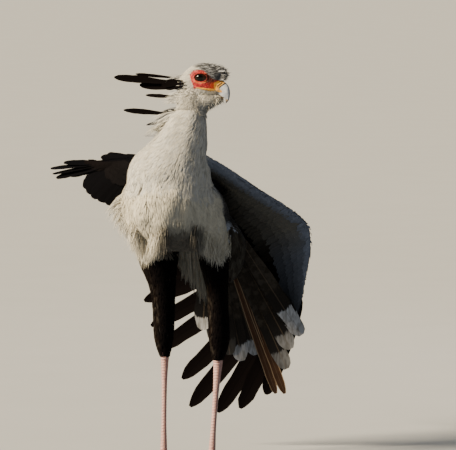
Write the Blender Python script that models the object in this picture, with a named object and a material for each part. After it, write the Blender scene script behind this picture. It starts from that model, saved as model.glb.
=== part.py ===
"""Secretary bird, life size, standing with its left wing hung half open and its head turned to its left.

Metres, +Z up. The bird faces -Y, so its left side is at +X. The floor is z = 0, and the origin is on the
floor under the middle of the whole bird.
"""

import math

import bmesh
import bpy
import numpy as np
from mathutils import Matrix, Vector

# Driving dimensions
GAP = 0.0003
FEATHER = 0.0010
SHINGLE = math.radians(8)
BODY_TURN = math.radians(22)
HIP_CENTRE = Vector((-0.016, 0.020, 0.0))
HEAD_TURN = math.radians(18)
HEAD_CENTRE = Vector((0.0315, -0.085, 1.1605))

EYE_RADII = (0.0195, 0.0145, 0.0145)
EYE_AHEAD = 0.010
EYE_OUT = 0.0185
LID_OUT = 0.0275
LID_HALF = (0.0175, 0.0122)
LID_ROUND = 0.0027

# Skin stations of the torso: forward, sideways, height, half width, rise, drop
TORSO = (
    (-0.180, 0.040, 0.705, 0.018, 0.016, 0.018),
    (-0.162, 0.036, 0.712, 0.040, 0.032, 0.034),
    (-0.130, 0.027, 0.728, 0.066, 0.052, 0.060),
    (-0.090, 0.012, 0.750, 0.088, 0.080, 0.096),
    (-0.020, -0.002, 0.760, 0.118, 0.102, 0.130),
    (0.050, -0.006, 0.772, 0.138, 0.114, 0.138),
    (0.115, -0.008, 0.780, 0.143, 0.118, 0.138),
    (0.175, -0.004, 0.788, 0.126, 0.104, 0.124),
    (0.220, 0.000, 0.796, 0.096, 0.078, 0.100),
    (0.252, 0.000, 0.794, 0.056, 0.046, 0.058),
    (0.266, 0.000, 0.793, 0.018, 0.016, 0.018),
)

# Stations up the neck: x, y, z, half width across, half depth
NECK = (
    (-0.060, -0.110, 0.780, 0.110, 0.090),
    (-0.058, -0.122, 0.855, 0.129, 0.100),
    (-0.042, -0.126, 0.909, 0.107, 0.092),
    (-0.0315, -0.123, 0.940, 0.0860, 0.081),
    (-0.018, -0.114, 0.974, 0.0740, 0.066),
    (-0.008, -0.102, 1.010, 0.0610, 0.057),
    (0.000, -0.091, 1.035, 0.050, 0.048),
    (0.0070, -0.084, 1.063, 0.0385, 0.042),
    (0.0070, -0.082, 1.095, 0.0365, 0.040),
    (0.0060, -0.082, 1.130, 0.0340, 0.036),
)
NECK_SPLIT = 4.1
HEAD_SPLIT = 7.2

# Rings of the skull by their crown and chin points: forward and height of each, then the half width
SKULL = (
    (-0.066, -0.010, -0.066, -0.034, 0.010),
    (-0.056, 0.002, -0.060, -0.052, 0.021),
    (-0.038, 0.018, -0.044, -0.066, 0.0270),
    (-0.018, 0.032, -0.024, -0.070, 0.0300),
    (0.004, 0.0395, -0.002, -0.072, 0.0305),
    (0.026, 0.0375, 0.016, -0.072, 0.0285),
    (0.045, 0.0345, 0.030, -0.070, 0.0235),
    (0.060, 0.0285, 0.040, -0.067, 0.0180),
    (0.0700, 0.0180, 0.047, -0.064, 0.0130),
    (0.0735, 0.0050, 0.052, -0.061, 0.0085),
    (0.0725, -0.005, 0.055, -0.056, 0.0040),
)
# The loose feathering under the bill: forward, height, half width, rise, drop
THROAT = (
    (-0.062, -0.066, 0.022, 0.030, 0.030),
    (-0.040, -0.072, 0.031, 0.036, 0.034),
    (-0.008, -0.073, 0.0335, 0.036, 0.034),
    (0.016, -0.069, 0.0300, 0.032, 0.030),
    (0.034, -0.067, 0.0240, 0.024, 0.022),
    (0.048, -0.066, 0.0165, 0.014, 0.016),
    (0.060, -0.0665, 0.0080, 0.006, 0.008),
)

# Bill rings by their upper and lower points: forward and height of each, then the half width
BILL_UPPER = (
    (0.040, -0.012, 0.030, -0.0445, 0.0150),
    (0.053, -0.0105, 0.043, -0.0462, 0.0150),
    (0.063, -0.0105, 0.053, -0.0480, 0.0143),
    (0.073, -0.0140, 0.062, -0.0548, 0.0128),
    (0.082, -0.0205, 0.070, -0.0600, 0.0110),
    (0.0895, -0.031, 0.0765, -0.0632, 0.0090),
    (0.0925, -0.044, 0.0790, -0.0658, 0.0070),
    (0.0925, -0.057, 0.0797, -0.0690, 0.0050),
    (0.0895, -0.0690, 0.0800, -0.0745, 0.0032),
    (0.0830, -0.0775, 0.0800, -0.0785, 0.0010),
)
BILL_LOWER = (
    (0.030, -0.0452, 0.030, -0.0590, 0.0128),
    (0.043, -0.0469, 0.042, -0.0630, 0.0122),
    (0.053, -0.0487, 0.051, -0.0660, 0.0105),
    (0.060, -0.0545, 0.058, -0.0680, 0.0085),
    (0.067, -0.0595, 0.065, -0.0685, 0.0055),
    (0.0720, -0.0632, 0.0715, -0.0668, 0.0020),
)
NOSTRIL_AT = (0.0690, 0.0135, -0.0270)
NOSTRIL_HALF = (0.0012, 0.0055, 0.0050)
MOUTH_LINE = ((-0.013, -0.0365), (0.013, -0.0415), (0.036, -0.0450))

# Stations along the front edge of each wing: place, the point its section aims at, chord and thickness
LEFT_WING = (
    (0.030, -0.090, 0.925, 0.000, 0.200, 0.800, 0.105, 0.034),
    (0.120, -0.040, 0.873, 0.010, 0.300, 0.750, 0.135, 0.030),
    (0.213, 0.010, 0.812, -0.020, 0.340, 0.680, 0.145, 0.024),
    (0.321, 0.060, 0.742, -0.080, 0.370, 0.580, 0.145, 0.019),
    (0.359, 0.085, 0.697, -0.130, 0.388, 0.480, 0.138, 0.017),
    (0.364, 0.120, 0.630, -0.100, 0.375, 0.350, 0.105, 0.015),
    (0.350, 0.155, 0.552, 0.000, 0.355, 0.138, 0.062, 0.011),
    (0.338, 0.185, 0.478, 0.120, 0.320, 0.130, 0.034, 0.007),
)
LEFT_WRIST = 4
RIGHT_WING = (
    (-0.120, -0.070, 0.915, -0.205, 0.270, 0.765, 0.150, 0.034),
    (-0.158, 0.000, 0.914, -0.258, 0.320, 0.757, 0.150, 0.028),
    (-0.190, 0.070, 0.905, -0.322, 0.400, 0.800, 0.125, 0.020),
    (-0.225, 0.140, 0.896, -0.350, 0.455, 0.814, 0.095, 0.015),
    (-0.256, 0.210, 0.887, -0.402, 0.560, 0.812, 0.070, 0.011),
    (-0.285, 0.275, 0.880, -0.417, 0.590, 0.840, 0.040, 0.007),
)
RIGHT_WRIST = 2
PRIMARY_FACING = Vector((-0.45, -0.10, 0.88)).normalized()

# Tips of the flight feathers, from the innermost of each group outwards
LEFT_SECONDARIES = (
    (0.022, 0.290, 0.805),
    (0.002, 0.330, 0.765),
    (-0.026, 0.355, 0.718),
    (-0.042, 0.364, 0.684),
    (-0.058, 0.371, 0.652),
    (-0.074, 0.377, 0.620),
    (-0.090, 0.381, 0.588),
    (-0.104, 0.384, 0.556),
    (-0.116, 0.387, 0.526),
    (-0.126, 0.388, 0.496),
)
LEFT_PRIMARIES = (
    (-0.144, 0.380, 0.450),
    (-0.123, 0.380, 0.373),
    (-0.101, 0.375, 0.299),
    (-0.027, 0.365, 0.211),
    (-0.003, 0.355, 0.126),
    (0.083, 0.335, 0.110),
    (0.151, 0.310, 0.125),
    (0.230, 0.270, 0.172),
)
RIGHT_SECONDARIES = (
    (-0.237, 0.270, 0.750),
    (-0.259, 0.295, 0.755),
    (-0.284, 0.320, 0.764),
    (-0.305, 0.345, 0.773),
    (-0.321, 0.370, 0.787),
    (-0.332, 0.392, 0.801),
)
RIGHT_PRIMARIES = (
    (-0.314, 0.400, 0.856),
    (-0.356, 0.460, 0.851),
    (-0.382, 0.500, 0.834),
    (-0.420, 0.560, 0.822),
    (-0.430, 0.578, 0.831),
    (-0.436, 0.590, 0.846),
    (-0.390, 0.500, 0.869),
)
# Long feathers over the back of the right wing's arm, as tips
RIGHT_TERTIALS = (
    (-0.203, 0.262, 0.902),
    (-0.231, 0.285, 0.902),
    (-0.256, 0.300, 0.906),
    (-0.275, 0.306, 0.898),
)

# Feather outlines as share of length and share of width
FLIGHT = ((0.0, 0.50), (0.28, 0.90), (0.68, 1.0), (0.92, 0.80), (1.0, 0.30))
COVERT = ((0.0, 0.60), (0.65, 1.0), (1.0, 0.36))
TAIL_VANE = ((0.0, 0.34), (0.45, 0.86), (0.92, 0.96), (1.0, 0.45))
CREST_VANE = ((0.0, 0.28), (0.35, 0.42), (0.66, 1.0), (0.87, 0.92), (1.0, 0.34))

# Where the flight feathers root: from and to as shares of the span, then of the chord
ROOTS = {
    "left_arm": ((0.30, 0.94), (0.70, 0.45)),
    "left_hand": ((0.07, 0.93), (0.45, 0.45)),
    "right_arm": ((0.15, 0.84), (0.55, 0.50)),
    "right_hand": ((0.12, 0.93), (0.45, 0.45)),
}
# Tiers of coverts: side of the wing (1 above), how far the root is ahead of the flight feather's root,
# length and height
UPPER_COVERTS = (1, 0.012, 0.110, 0.0055)
LOWER_COVERTS = (-1, 0.012, 0.100, 0.0055)

# Tail: its fleshy root, and the tips of its feathers from its right side to its left
TAIL_BODY = (
    (0.072, 0.140, 0.745, 0.034, 0.032),
    (0.078, 0.140, 0.710, 0.056, 0.040),
    (0.080, 0.137, 0.660, 0.084, 0.034),
    (0.080, 0.137, 0.610, 0.086, 0.026),
    (0.086, 0.140, 0.565, 0.066, 0.017),
    (0.092, 0.143, 0.530, 0.036, 0.009),
)
TAIL_ROOT = Vector((0.084, 0.145, 0.712))
TAIL_TIPS = (
    (0.038, 0.170, 0.380),
    (0.078, 0.175, 0.337),
    (0.120, 0.180, 0.303),
    (0.157, 0.184, 0.284),
    (0.199, 0.188, 0.302),
    (0.260, 0.192, 0.183),
    (0.287, 0.190, 0.183),
    (0.293, 0.180, 0.260),
    (0.305, 0.165, 0.322),
    (0.338, 0.150, 0.366),
    (0.326, 0.138, 0.389),
    (0.308, 0.125, 0.411),
)
TAIL_FEATHER_WIDTH = 0.054
# Coverts of the tail's front and back faces: depth of root and of tip from the tail's root, and tip height
TAIL_COVERTS = ((-0.018, -0.030, 0.474), (0.016, 0.046, 0.500))

# Crest feathers as root, tip and greatest width, by the node they grow from
HEAD_CREST = (
    ((-0.004, -0.078, 1.150), (-0.162, -0.040, 1.166), 0.011),
    ((-0.008, -0.076, 1.138), (-0.226, -0.030, 1.156), 0.024),
    ((-0.010, -0.074, 1.124), (-0.150, -0.028, 1.133), 0.024),
    ((-0.012, -0.072, 1.098), (-0.132, -0.026, 1.102), 0.012),
)
NAPE_CREST = (
    ((-0.022, -0.080, 1.044), (-0.198, -0.030, 1.0575), 0.017),
    ((-0.018, -0.082, 1.043), (-0.130, -0.040, 1.013), 0.018),
)
MANE_CREST = (
    ((-0.055, -0.095, 0.992), (-0.114, -0.055, 1.003), 0.010),
    ((-0.055, -0.095, 0.982), (-0.138, -0.045, 0.981), 0.016),
)

# Legs, right then left: stations down the thigh (x, y, z, half width, half depth), then the tarsus and toes
THIGH_RIGHT = (
    (-0.098, 0.058, 0.778, 0.022, 0.028),
    (-0.099, 0.060, 0.758, 0.050, 0.062),
    (-0.098, 0.061, 0.715, 0.066, 0.076),
    (-0.096, 0.061, 0.670, 0.066, 0.074),
    (-0.096, 0.058, 0.600, 0.060, 0.062),
    (-0.084, 0.055, 0.523, 0.041, 0.048),
    (-0.0795, 0.053, 0.455, 0.0345, 0.040),
    (-0.0795, 0.054, 0.383, 0.0315, 0.034),
    (-0.0790, 0.057, 0.345, 0.0255, 0.027),
    (-0.0765, 0.060, 0.312, 0.0165, 0.0185),
)
THIGH_LEFT = (
    (0.048, -0.004, 0.778, 0.018, 0.028),
    (0.052, -0.004, 0.758, 0.040, 0.060),
    (0.060, -0.002, 0.715, 0.048, 0.074),
    (0.066, -0.005, 0.670, 0.046, 0.070),
    (0.072, -0.006, 0.600, 0.045, 0.060),
    (0.081, -0.007, 0.523, 0.034, 0.047),
    (0.084, -0.008, 0.465, 0.0315, 0.040),
    (0.087, -0.007, 0.385, 0.0330, 0.035),
    (0.0880, -0.004, 0.350, 0.0290, 0.029),
    (0.084, -0.001, 0.308, 0.0180, 0.0200),
)
TARSUS_RIGHT = (
    (-0.0765, 0.059, 0.325, 0.0095, 0.0100),
    (-0.0765, 0.062, 0.308, 0.0130, 0.0150),
    (-0.0770, 0.063, 0.285, 0.0115, 0.0140),
    (-0.0780, 0.055, 0.220, 0.0085, 0.0110),
    (-0.0790, 0.039, 0.110, 0.0080, 0.0105),
    (-0.0795, 0.031, 0.040, 0.0105, 0.0130),
    (-0.0797, 0.032, 0.026, 0.0105, 0.0130),
)
TARSUS_LEFT = (
    (0.084, -0.002, 0.322, 0.0105, 0.0110),
    (0.084, 0.001, 0.304, 0.0150, 0.0160),
    (0.083, 0.003, 0.280, 0.0135, 0.0150),
    (0.078, -0.004, 0.210, 0.0095, 0.0115),
    (0.071, -0.019, 0.110, 0.0085, 0.0105),
    (0.0665, -0.025, 0.040, 0.0110, 0.0130),
    (0.0660, -0.024, 0.026, 0.0110, 0.0130),
)
FOOT_RIGHT = Vector((-0.0797, 0.030, 0.0))
FOOT_LEFT = Vector((0.0660, -0.026, 0.0))
HUB_RADII = (0.0165, 0.0185, 0.0205)
# Each toe: direction from straight ahead in degrees, length and half thickness
TOES = (
    (28, 0.050, 0.0085),
    (0, 0.068, 0.0095),
    (-30, 0.054, 0.0088),
    (176, 0.026, 0.0075),
)
CLAW_LENGTH = 0.021


def clear_scene():
    for thing in list(bpy.data.objects):
        bpy.data.objects.remove(thing)


def material(name, colour, roughness, metallic=0.0):
    """A plain finish for one kind of surface."""
    made = bpy.data.materials.new(name)
    made.use_nodes = True
    shader = made.node_tree.nodes["Principled BSDF"]
    shader.inputs["Base Color"].default_value = (*colour, 1)
    shader.inputs["Roughness"].default_value = roughness
    shader.inputs["Metallic"].default_value = metallic
    return made


def body_point(forward, left, height):
    """A point given along the body's own forward and left directions."""
    ahead = Vector((-math.sin(BODY_TURN), -math.cos(BODY_TURN), 0))
    side = Vector((math.cos(BODY_TURN), -math.sin(BODY_TURN), 0))
    return HIP_CENTRE + ahead * forward + side * left + Vector((0, 0, height))


def head_axes():
    """Forward, right-hand and up directions of the head."""
    ahead = Vector((math.cos(HEAD_TURN), -math.sin(HEAD_TURN), 0))
    right = Vector((-math.sin(HEAD_TURN), -math.cos(HEAD_TURN), 0))
    return ahead, right, Vector((0, 0, 1))


def head_point(forward, right, up):
    ahead, side, high = head_axes()
    return HEAD_CENTRE + ahead * forward + side * right + high * up


def smooth_rows(rows, steps):
    """Catmull-Rom rows through the given ones, with so many steps from one to the next."""
    rows = np.array(rows, float)
    padded = np.vstack([2 * rows[0] - rows[1], rows, 2 * rows[-1] - rows[-2]])
    found = []
    for i in range(len(rows) - 1):
        a, b, c, d = padded[i : i + 4]
        square, cube = 2 * a - 5 * b + 4 * c - d, 3 * b - a - 3 * c + d
        for k in range(steps):
            t = k / steps
            found.append(0.5 * (2 * b + (c - a) * t + square * t**2 + cube * t**3))
    return np.array([*found, rows[-1]])


def row_at(rows, place):
    """The row at a place along smooth_rows, counted in stations."""
    steps = 20
    fine = smooth_rows(rows, steps)
    exact = place * steps
    low = min(int(exact), len(fine) - 2)
    return fine[low] + (fine[low + 1] - fine[low]) * (exact - low)


def ring(centre, side, up, half_width, rise, drop, count, above=2.0, below=2.0):
    """A closed outline round centre; above and below square off its upper and lower halves."""
    points = []
    for k in range(count):
        angle = 2 * math.pi * k / count
        across, along = math.cos(angle), math.sin(angle)
        power = 2 / (above if along >= 0 else below)
        across = math.copysign(abs(across) ** power, across)
        along = math.copysign(abs(along) ** power, along)
        points.append(centre + side * half_width * across + up * (rise if along >= 0 else drop) * along)
    return points


def object_from(name, points, faces):
    mesh = bpy.data.meshes.new(name)
    mesh.from_pydata([tuple(p) for p in points], [], faces)
    made = bpy.data.objects.new(name, mesh)
    bpy.context.scene.collection.objects.link(made)
    return made


def loft(name, rings):
    """A closed skin over rings of equal count, with a fan of triangles on each end."""
    count = len(rings[0])
    points = [p for one in rings for p in one]
    faces = []
    for r in range(len(rings) - 1):
        for k in range(count):
            a, b = r * count + k, r * count + (k + 1) % count
            faces += [(a, b, b + count), (a, b + count, a + count)]
    for start, order in ((0, -1), ((len(rings) - 1) * count, 1)):
        middle = len(points)
        points.append(sum((Vector(p) for p in points[start : start + count]), Vector()) / count)
        for k in range(count):
            faces.append((middle, start + k, start + (k + 1) % count)[::order])
    made = object_from(name, points, faces)
    face_outwards(made)
    return made


def face_outwards(made):
    work = bmesh.new()
    work.from_mesh(made.data)
    bmesh.ops.recalc_face_normals(work, faces=work.faces)
    if work.calc_volume(signed=True) < 0:
        bmesh.ops.reverse_faces(work, faces=work.faces)
    work.to_mesh(made.data)
    work.free()


def ellipsoid(name, centre, axes, radii, segments=20, rings=12):
    """An ellipsoid with its radii along three given directions."""
    work = bmesh.new()
    bmesh.ops.create_uvsphere(work, u_segments=segments, v_segments=rings, radius=1.0)
    turn = Matrix((axes[0] * radii[0], axes[1] * radii[1], axes[2] * radii[2])).transposed().to_4x4()
    bmesh.ops.transform(work, matrix=Matrix.Translation(centre) @ turn, verts=work.verts)
    mesh = bpy.data.meshes.new(name)
    work.to_mesh(mesh)
    work.free()
    made = bpy.data.objects.new(name, mesh)
    bpy.context.scene.collection.objects.link(made)
    face_outwards(made)
    return made


def boolean(made, others, operation):
    """Joins or cuts made with others in one go, then removes others."""
    tools = bpy.data.collections.new("tools")
    bpy.context.scene.collection.children.link(tools)
    for one in others:
        bpy.context.scene.collection.objects.unlink(one)
        tools.objects.link(one)
    step = made.modifiers.new("Boolean", "BOOLEAN")
    step.operation = operation
    step.operand_type = "COLLECTION"
    step.collection = tools
    step.solver = "MANIFOLD"
    graph = bpy.context.evaluated_depsgraph_get()
    mesh = bpy.data.meshes.new_from_object(made.evaluated_get(graph))
    made.modifiers.clear()
    made.data = mesh
    for one in others:
        bpy.data.objects.remove(one)
    bpy.data.collections.remove(tools)
    keep_largest(made)
    return made


def keep_largest(made):
    """Keeps the largest closed surface of a mesh, without edges too short to matter."""
    work = bmesh.new()
    work.from_mesh(made.data)
    work.verts.index_update()
    unseen = set(work.verts)
    shells = []
    while unseen:
        stack = [unseen.pop()]
        shell = set(stack)
        while stack:
            for edge in stack.pop().link_edges:
                for vert in edge.verts:
                    if vert in unseen:
                        unseen.discard(vert)
                        shell.add(vert)
                        stack.append(vert)
        low = Vector(map(min, *(v.co for v in shell)))
        high = Vector(map(max, *(v.co for v in shell)))
        shells.append(((high - low).length, len(shells), shell))
    shells.sort(key=lambda s: s[:2])
    for _, _, shell in shells[:-1]:
        bmesh.ops.delete(work, geom=list(shell), context="VERTS")
    bmesh.ops.remove_doubles(work, verts=work.verts, dist=2e-6)
    bmesh.ops.dissolve_degenerate(work, dist=2e-6, edges=work.edges)
    bmesh.ops.triangulate(work, faces=work.faces)
    work.to_mesh(made.data)
    work.free()


def vane(root, tip, normal, width, outline, bend=0.0, tilt=0.0):
    """One feather from root to tip: a thin blade, bowed by bend and turned about its own shaft by tilt."""
    along = tip - root
    length = along.length
    along = along / length
    side = Matrix.Rotation(tilt, 3, along) @ normal.cross(along).normalized()
    out = along.cross(side)
    points = []
    for share, broad in outline:
        centre = root + along * (length * share) + out * (bend * math.sin(math.pi * share))
        half = side * (width / 2 * broad)
        thick = out * (FEATHER / 2 * (1.0 if share < 0.9 else 0.7))
        points += [centre - half - thick, centre + half - thick]
        points += [centre + half + thick, centre - half + thick]
    faces = [(0, 3, 2), (0, 2, 1)]
    for r in range(len(outline) - 1):
        a, b, c, d = (4 * r + k for k in range(4))
        e, f, g, h = (n + 4 for n in (a, b, c, d))
        faces += [(a, b, f), (a, f, e), (d, h, g), (d, g, c), (b, c, g), (b, g, f), (a, e, h), (a, h, d)]
    last = 4 * (len(outline) - 1)
    faces += [(last, last + 1, last + 2), (last, last + 2, last + 3)]
    made = object_from("vane", points, faces)
    face_outwards(made)
    return made


def torso_rings(grow=0.0):
    side = Vector((math.cos(BODY_TURN), -math.sin(BODY_TURN), 0))
    up = Vector((0, 0, 1))
    rings = []
    for forward, left, height, half, rise, drop in smooth_rows(TORSO, 2):
        centre = body_point(forward, left, height)
        rings.append(ring(centre, side, up, half + grow, rise + grow, drop + grow, 22, 2.0, 2.5))
    return rings


def neck_rings(start, end, grow=0.0):
    """Rings of the neck from one station to another."""
    places = [start, *[p / 2 for p in range(1, 2 * len(NECK)) if start + 0.15 < p / 2 < end - 0.15], end]
    rings = []
    for place in places:
        x, y, z, half, deep = row_at(NECK, place)
        ahead = Vector(row_at(NECK, min(place + 0.1, len(NECK) - 1))[:3])
        behind = Vector(row_at(NECK, max(place - 0.1, 0))[:3])
        along = (ahead - behind).normalized()
        across = Vector((0, 1, 0)).cross(along).normalized()
        depth = along.cross(across)
        rings.append(ring(Vector((x, y, z)), across, depth, half + grow, deep + grow, deep + grow, 20))
    return rings


def paired_rings(rows, steps, count, grow=0.0, above=2.1, below=2.1):
    """Rings of the head given by their upper and lower points."""
    right = head_axes()[1]
    rings = []
    for top_a, top_c, low_a, low_c, half in smooth_rows(rows, steps):
        top, low = head_point(top_a, 0, top_c), head_point(low_a, 0, low_c)
        tall = (top - low).length / 2 + grow
        up = (top - low).normalized()
        across = max(half, 0.0004) + grow
        rings.append(ring((top + low) / 2, right, up, across, tall, tall, count, above, below))
    return rings


def throat_rings(grow=0.0):
    right, up = head_axes()[1:]
    rings = []
    for a, c, half, rise, drop in THROAT:
        rings.append(ring(head_point(a, 0, c), right, up, half + grow, rise + grow, drop + grow, 16))
    return rings


def build_torso():
    return loft("torso", torso_rings())


def build_neck():
    lower = loft("neck_lower", neck_rings(0, NECK_SPLIT))
    boolean(lower, [loft("cutter", torso_rings(GAP))], "DIFFERENCE")
    upper = loft("neck_upper", neck_rings(NECK_SPLIT, HEAD_SPLIT))
    lift(upper, 20)
    boolean(upper, face_forms(GAP), "DIFFERENCE")
    boolean(upper, crest(NAPE_CREST, 0, NECK_SPLIT), "UNION")
    boolean(lower, crest(MANE_CREST, NECK_SPLIT, HEAD_SPLIT), "UNION")


def lift(made, count):
    """Lifts the first ring of a stacked piece by the gap, so that it doesn't touch the piece below."""
    first = list(made.data.vertices)[:count] + [made.data.vertices[-2]]
    for v in first:
        v.co.z += GAP


def eye_ball(name, hand, grow=0.0):
    ahead, right, up = head_axes()
    centre = head_point(EYE_AHEAD, hand * EYE_OUT, 0)
    radii = [r + grow for r in EYE_RADII]
    return ellipsoid(name, centre, (ahead, right * hand, up), radii, 16, 10)


def lid_ring(hand):
    """The swollen rim of skin round one eye."""
    ahead, right, up = head_axes()
    out = right * hand
    centre = head_point(EYE_AHEAD, hand * LID_OUT, 0)
    points = []
    for k in range(16):
        angle = 2 * math.pi * k / 16
        reach = ahead * (LID_HALF[0] * math.cos(angle)) + up * (LID_HALF[1] * math.sin(angle))
        points += ring(centre + reach, reach.normalized(), out, LID_ROUND, LID_ROUND, LID_ROUND, 6)
    faces = []
    for r in range(16):
        for k in range(6):
            a, b = r * 6 + k, r * 6 + (k + 1) % 6
            c, d = ((r + 1) % 16) * 6 + (k + 1) % 6, ((r + 1) % 16) * 6 + k
            faces += [(a, b, c), (a, c, d)]
    made = object_from("lid", points, faces)
    face_outwards(made)
    return made


def mouth_cutter(hand):
    """A thin blade along the side of the face that leaves the line of the mouth."""
    right, up = head_axes()[1:]
    rings = []
    for a, c in MOUTH_LINE:
        centre = head_point(a, hand * 0.030, c)
        corners = ((-1, -1), (1, -1), (1, 1), (-1, 1))
        rings.append([centre + right * (0.006 * i) + up * (0.0004 * j) for i, j in corners])
    return loft("cutter", rings)


def face_forms(grow):
    """The skull and throat, for joining to the head or for cutting what meets it."""
    return [loft("skull", paired_rings(SKULL, 2, 20, grow)), loft("throat", throat_rings(grow))]


def crest(rows, start, end):
    """Spatula-shaped crest feathers, clear of the neck between two of its stations."""
    blades = []
    for k, (root, tip, width) in enumerate(rows):
        facing = Vector((0.15, 0.96, 0.2 - 0.12 * k))
        blade = vane(Vector(root), Vector(tip), facing, width, CREST_VANE, 0.004)
        blades.append(boolean(blade, [loft("cutter", neck_rings(start, end, GAP))], "DIFFERENCE"))
    return blades


def build_head():
    head = loft("head", neck_rings(HEAD_SPLIT, len(NECK) - 1))
    lift(head, 20)
    boolean(head, face_forms(0) + [lid_ring(1), lid_ring(-1)], "UNION")
    cutters = [eye_ball("cutter", hand, GAP) for hand in (1, -1)]
    cutters += [mouth_cutter(hand) for hand in (1, -1)]
    boolean(head, cutters, "DIFFERENCE")
    boolean(head, crest(HEAD_CREST, 0, HEAD_SPLIT), "UNION")


def nostril(hand):
    ahead, right, up = head_axes()
    lean = (up - ahead * 0.45).normalized()
    axes = (right.cross(lean).normalized(), right, lean)
    a, out, c = NOSTRIL_AT
    return ellipsoid("nostril", head_point(a, hand * out, c), axes, NOSTRIL_HALF, 8, 4)


def build_bill():
    upper = loft("bill_upper", paired_rings(BILL_UPPER, 1, 16, 0.0, 2.0, 5.0))
    boolean(upper, face_forms(GAP) + [nostril(1), nostril(-1)], "DIFFERENCE")
    lower = loft("bill_lower", paired_rings(BILL_LOWER, 1, 14, 0.0, 5.0, 2.0))
    boolean(lower, face_forms(GAP), "DIFFERENCE")


def wing_frames(stations, steps, hand):
    """Smoothed stations as front edge, backward and upper directions, chord and thickness."""
    rows = smooth_rows(stations, steps)
    found = []
    for i, row in enumerate(rows):
        ahead, behind = rows[min(i + 1, len(rows) - 1)], rows[max(i - 1, 0)]
        span = Vector(ahead[:3] - behind[:3]).normalized()
        back = Vector(row[3:6] - row[:3]).normalized()
        up = back.cross(span).normalized()
        if up.dot(Vector((hand, 0, 1))) < 0:
            up.negate()
        found.append((Vector(row[:3]), back, up, row[6], row[7]))
    return found


def wing_ring(frame, grow=0.0):
    """The section of a wing across one station: round in front, thin behind."""
    edge, back, up, chord, thick = frame
    profile = ((0.0, 0.0), (0.06, 0.32), (0.25, 0.5), (0.6, 0.3), (1.0, 0.07))
    edge, chord = edge - back * grow, chord + 2 * grow
    upper = [edge + back * (chord * a) + up * (thick * b + grow * (a > 0)) for a, b in profile]
    lower = [edge + back * (chord * a) - up * (thick * b * 0.8 + grow) for a, b in profile[:0:-1]]
    return upper + lower


def wing_place(frames, share):
    """The frame at one share of a wing's span."""
    place = share * (len(frames) - 1)
    low = min(int(place), len(frames) - 2)
    mix = place - low
    pairs = zip(frames[low], frames[low + 1])
    return [a.lerp(b, mix) if isinstance(a, Vector) else a + (b - a) * mix for a, b in pairs]


def slid(frame, along, distance):
    """A wing frame moved along the span."""
    return (frame[0] + along * distance, *frame[1:])


def split_wing(stations, wrist, hand_side):
    """Frames of the arm and the hand, parted at the wrist, and those that each must keep clear of."""
    steps = 2
    frames = wing_frames(stations, steps, hand_side)
    arm, hand = frames[: wrist * steps + 1], frames[wrist * steps :]
    out = hand[0][1].cross(hand[0][2]).normalized()
    if out.dot(hand[1][0] - hand[0][0]) < 0:
        out.negate()
    past_arm = arm[:-1] + [slid(arm[-1], out, 1.5 * GAP)]
    past_hand = [slid(hand[0], out, -0.5 * GAP)] + hand[1:]
    return arm, [slid(hand[0], out, GAP)] + hand[1:], past_arm, past_hand


def flight_roots(frames, count, span, chord_shares):
    """Evenly spaced feather roots, and the wing's upper direction at each of them."""
    found = []
    for k in range(count):
        along = k / (count - 1)
        edge, back, up, chord, _ = wing_place(frames, span[0] + (span[1] - span[0]) * along)
        share = chord_shares[0] + (chord_shares[1] - chord_shares[0]) * along
        found.append((edge + back * (share * chord), up.normalized()))
    return found


def remiges(roots, tips, width, tilt):
    """The long flight feathers, laid like shingles."""
    return [vane(root, Vector(tip), up, width, FLIGHT, 0.0, tilt) for (root, up), tip in zip(roots, tips)]


def coverts(roots, tips, tier, width, tilt):
    """A tier of short feathers, each one along a flight feather."""
    face, ahead, length, height = tier
    found = []
    for (root, up), tip in zip(roots, tips):
        shaft = (Vector(tip) - root).normalized()
        start = root - shaft * ahead + up * (face * height * 0.5)
        end = root + shaft * (length - ahead) + up * (face * height)
        found.append(vane(start, end, up, width, COVERT, 0.0, tilt))
    return found


def wing_piece(name, frames, feathers, others):
    """One node of a wing: its section lofted along the bones, with feathers kept clear of the next node."""
    past = [wing_ring(other, GAP) for other in others]
    blades = [boolean(feather, [loft("cutter", past)], "DIFFERENCE") for feather in feathers]
    return boolean(loft(name, [wing_ring(f) for f in frames]), blades, "UNION")


def build_left_wing():
    """The hung wing, whose lower face shows from in front."""
    arm, hand, past_arm, past_hand = split_wing(LEFT_WING, LEFT_WRIST, 1)
    roots = flight_roots(arm, len(LEFT_SECONDARIES), *ROOTS["left_arm"])
    feathers = remiges(roots, LEFT_SECONDARIES, 0.050, SHINGLE)
    feathers += coverts(roots, LEFT_SECONDARIES, UPPER_COVERTS, 0.046, SHINGLE)
    feathers += coverts(roots[:-1], LEFT_SECONDARIES, LOWER_COVERTS, 0.046, SHINGLE)
    arm_piece = wing_piece("wing_left_arm", arm, feathers, past_hand)
    boolean(arm_piece, [*body_cutters(), tail_form(GAP)], "DIFFERENCE")
    roots = flight_roots(hand, len(LEFT_PRIMARIES), *ROOTS["left_hand"])
    feathers = remiges(roots, LEFT_PRIMARIES, 0.052, SHINGLE)
    feathers += coverts(roots[1:], LEFT_PRIMARIES[1:], UPPER_COVERTS, 0.046, SHINGLE)
    feathers += coverts(roots, LEFT_PRIMARIES, LOWER_COVERTS, 0.046, SHINGLE)
    wing_piece("wing_left_hand", hand, feathers, past_arm)


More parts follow.
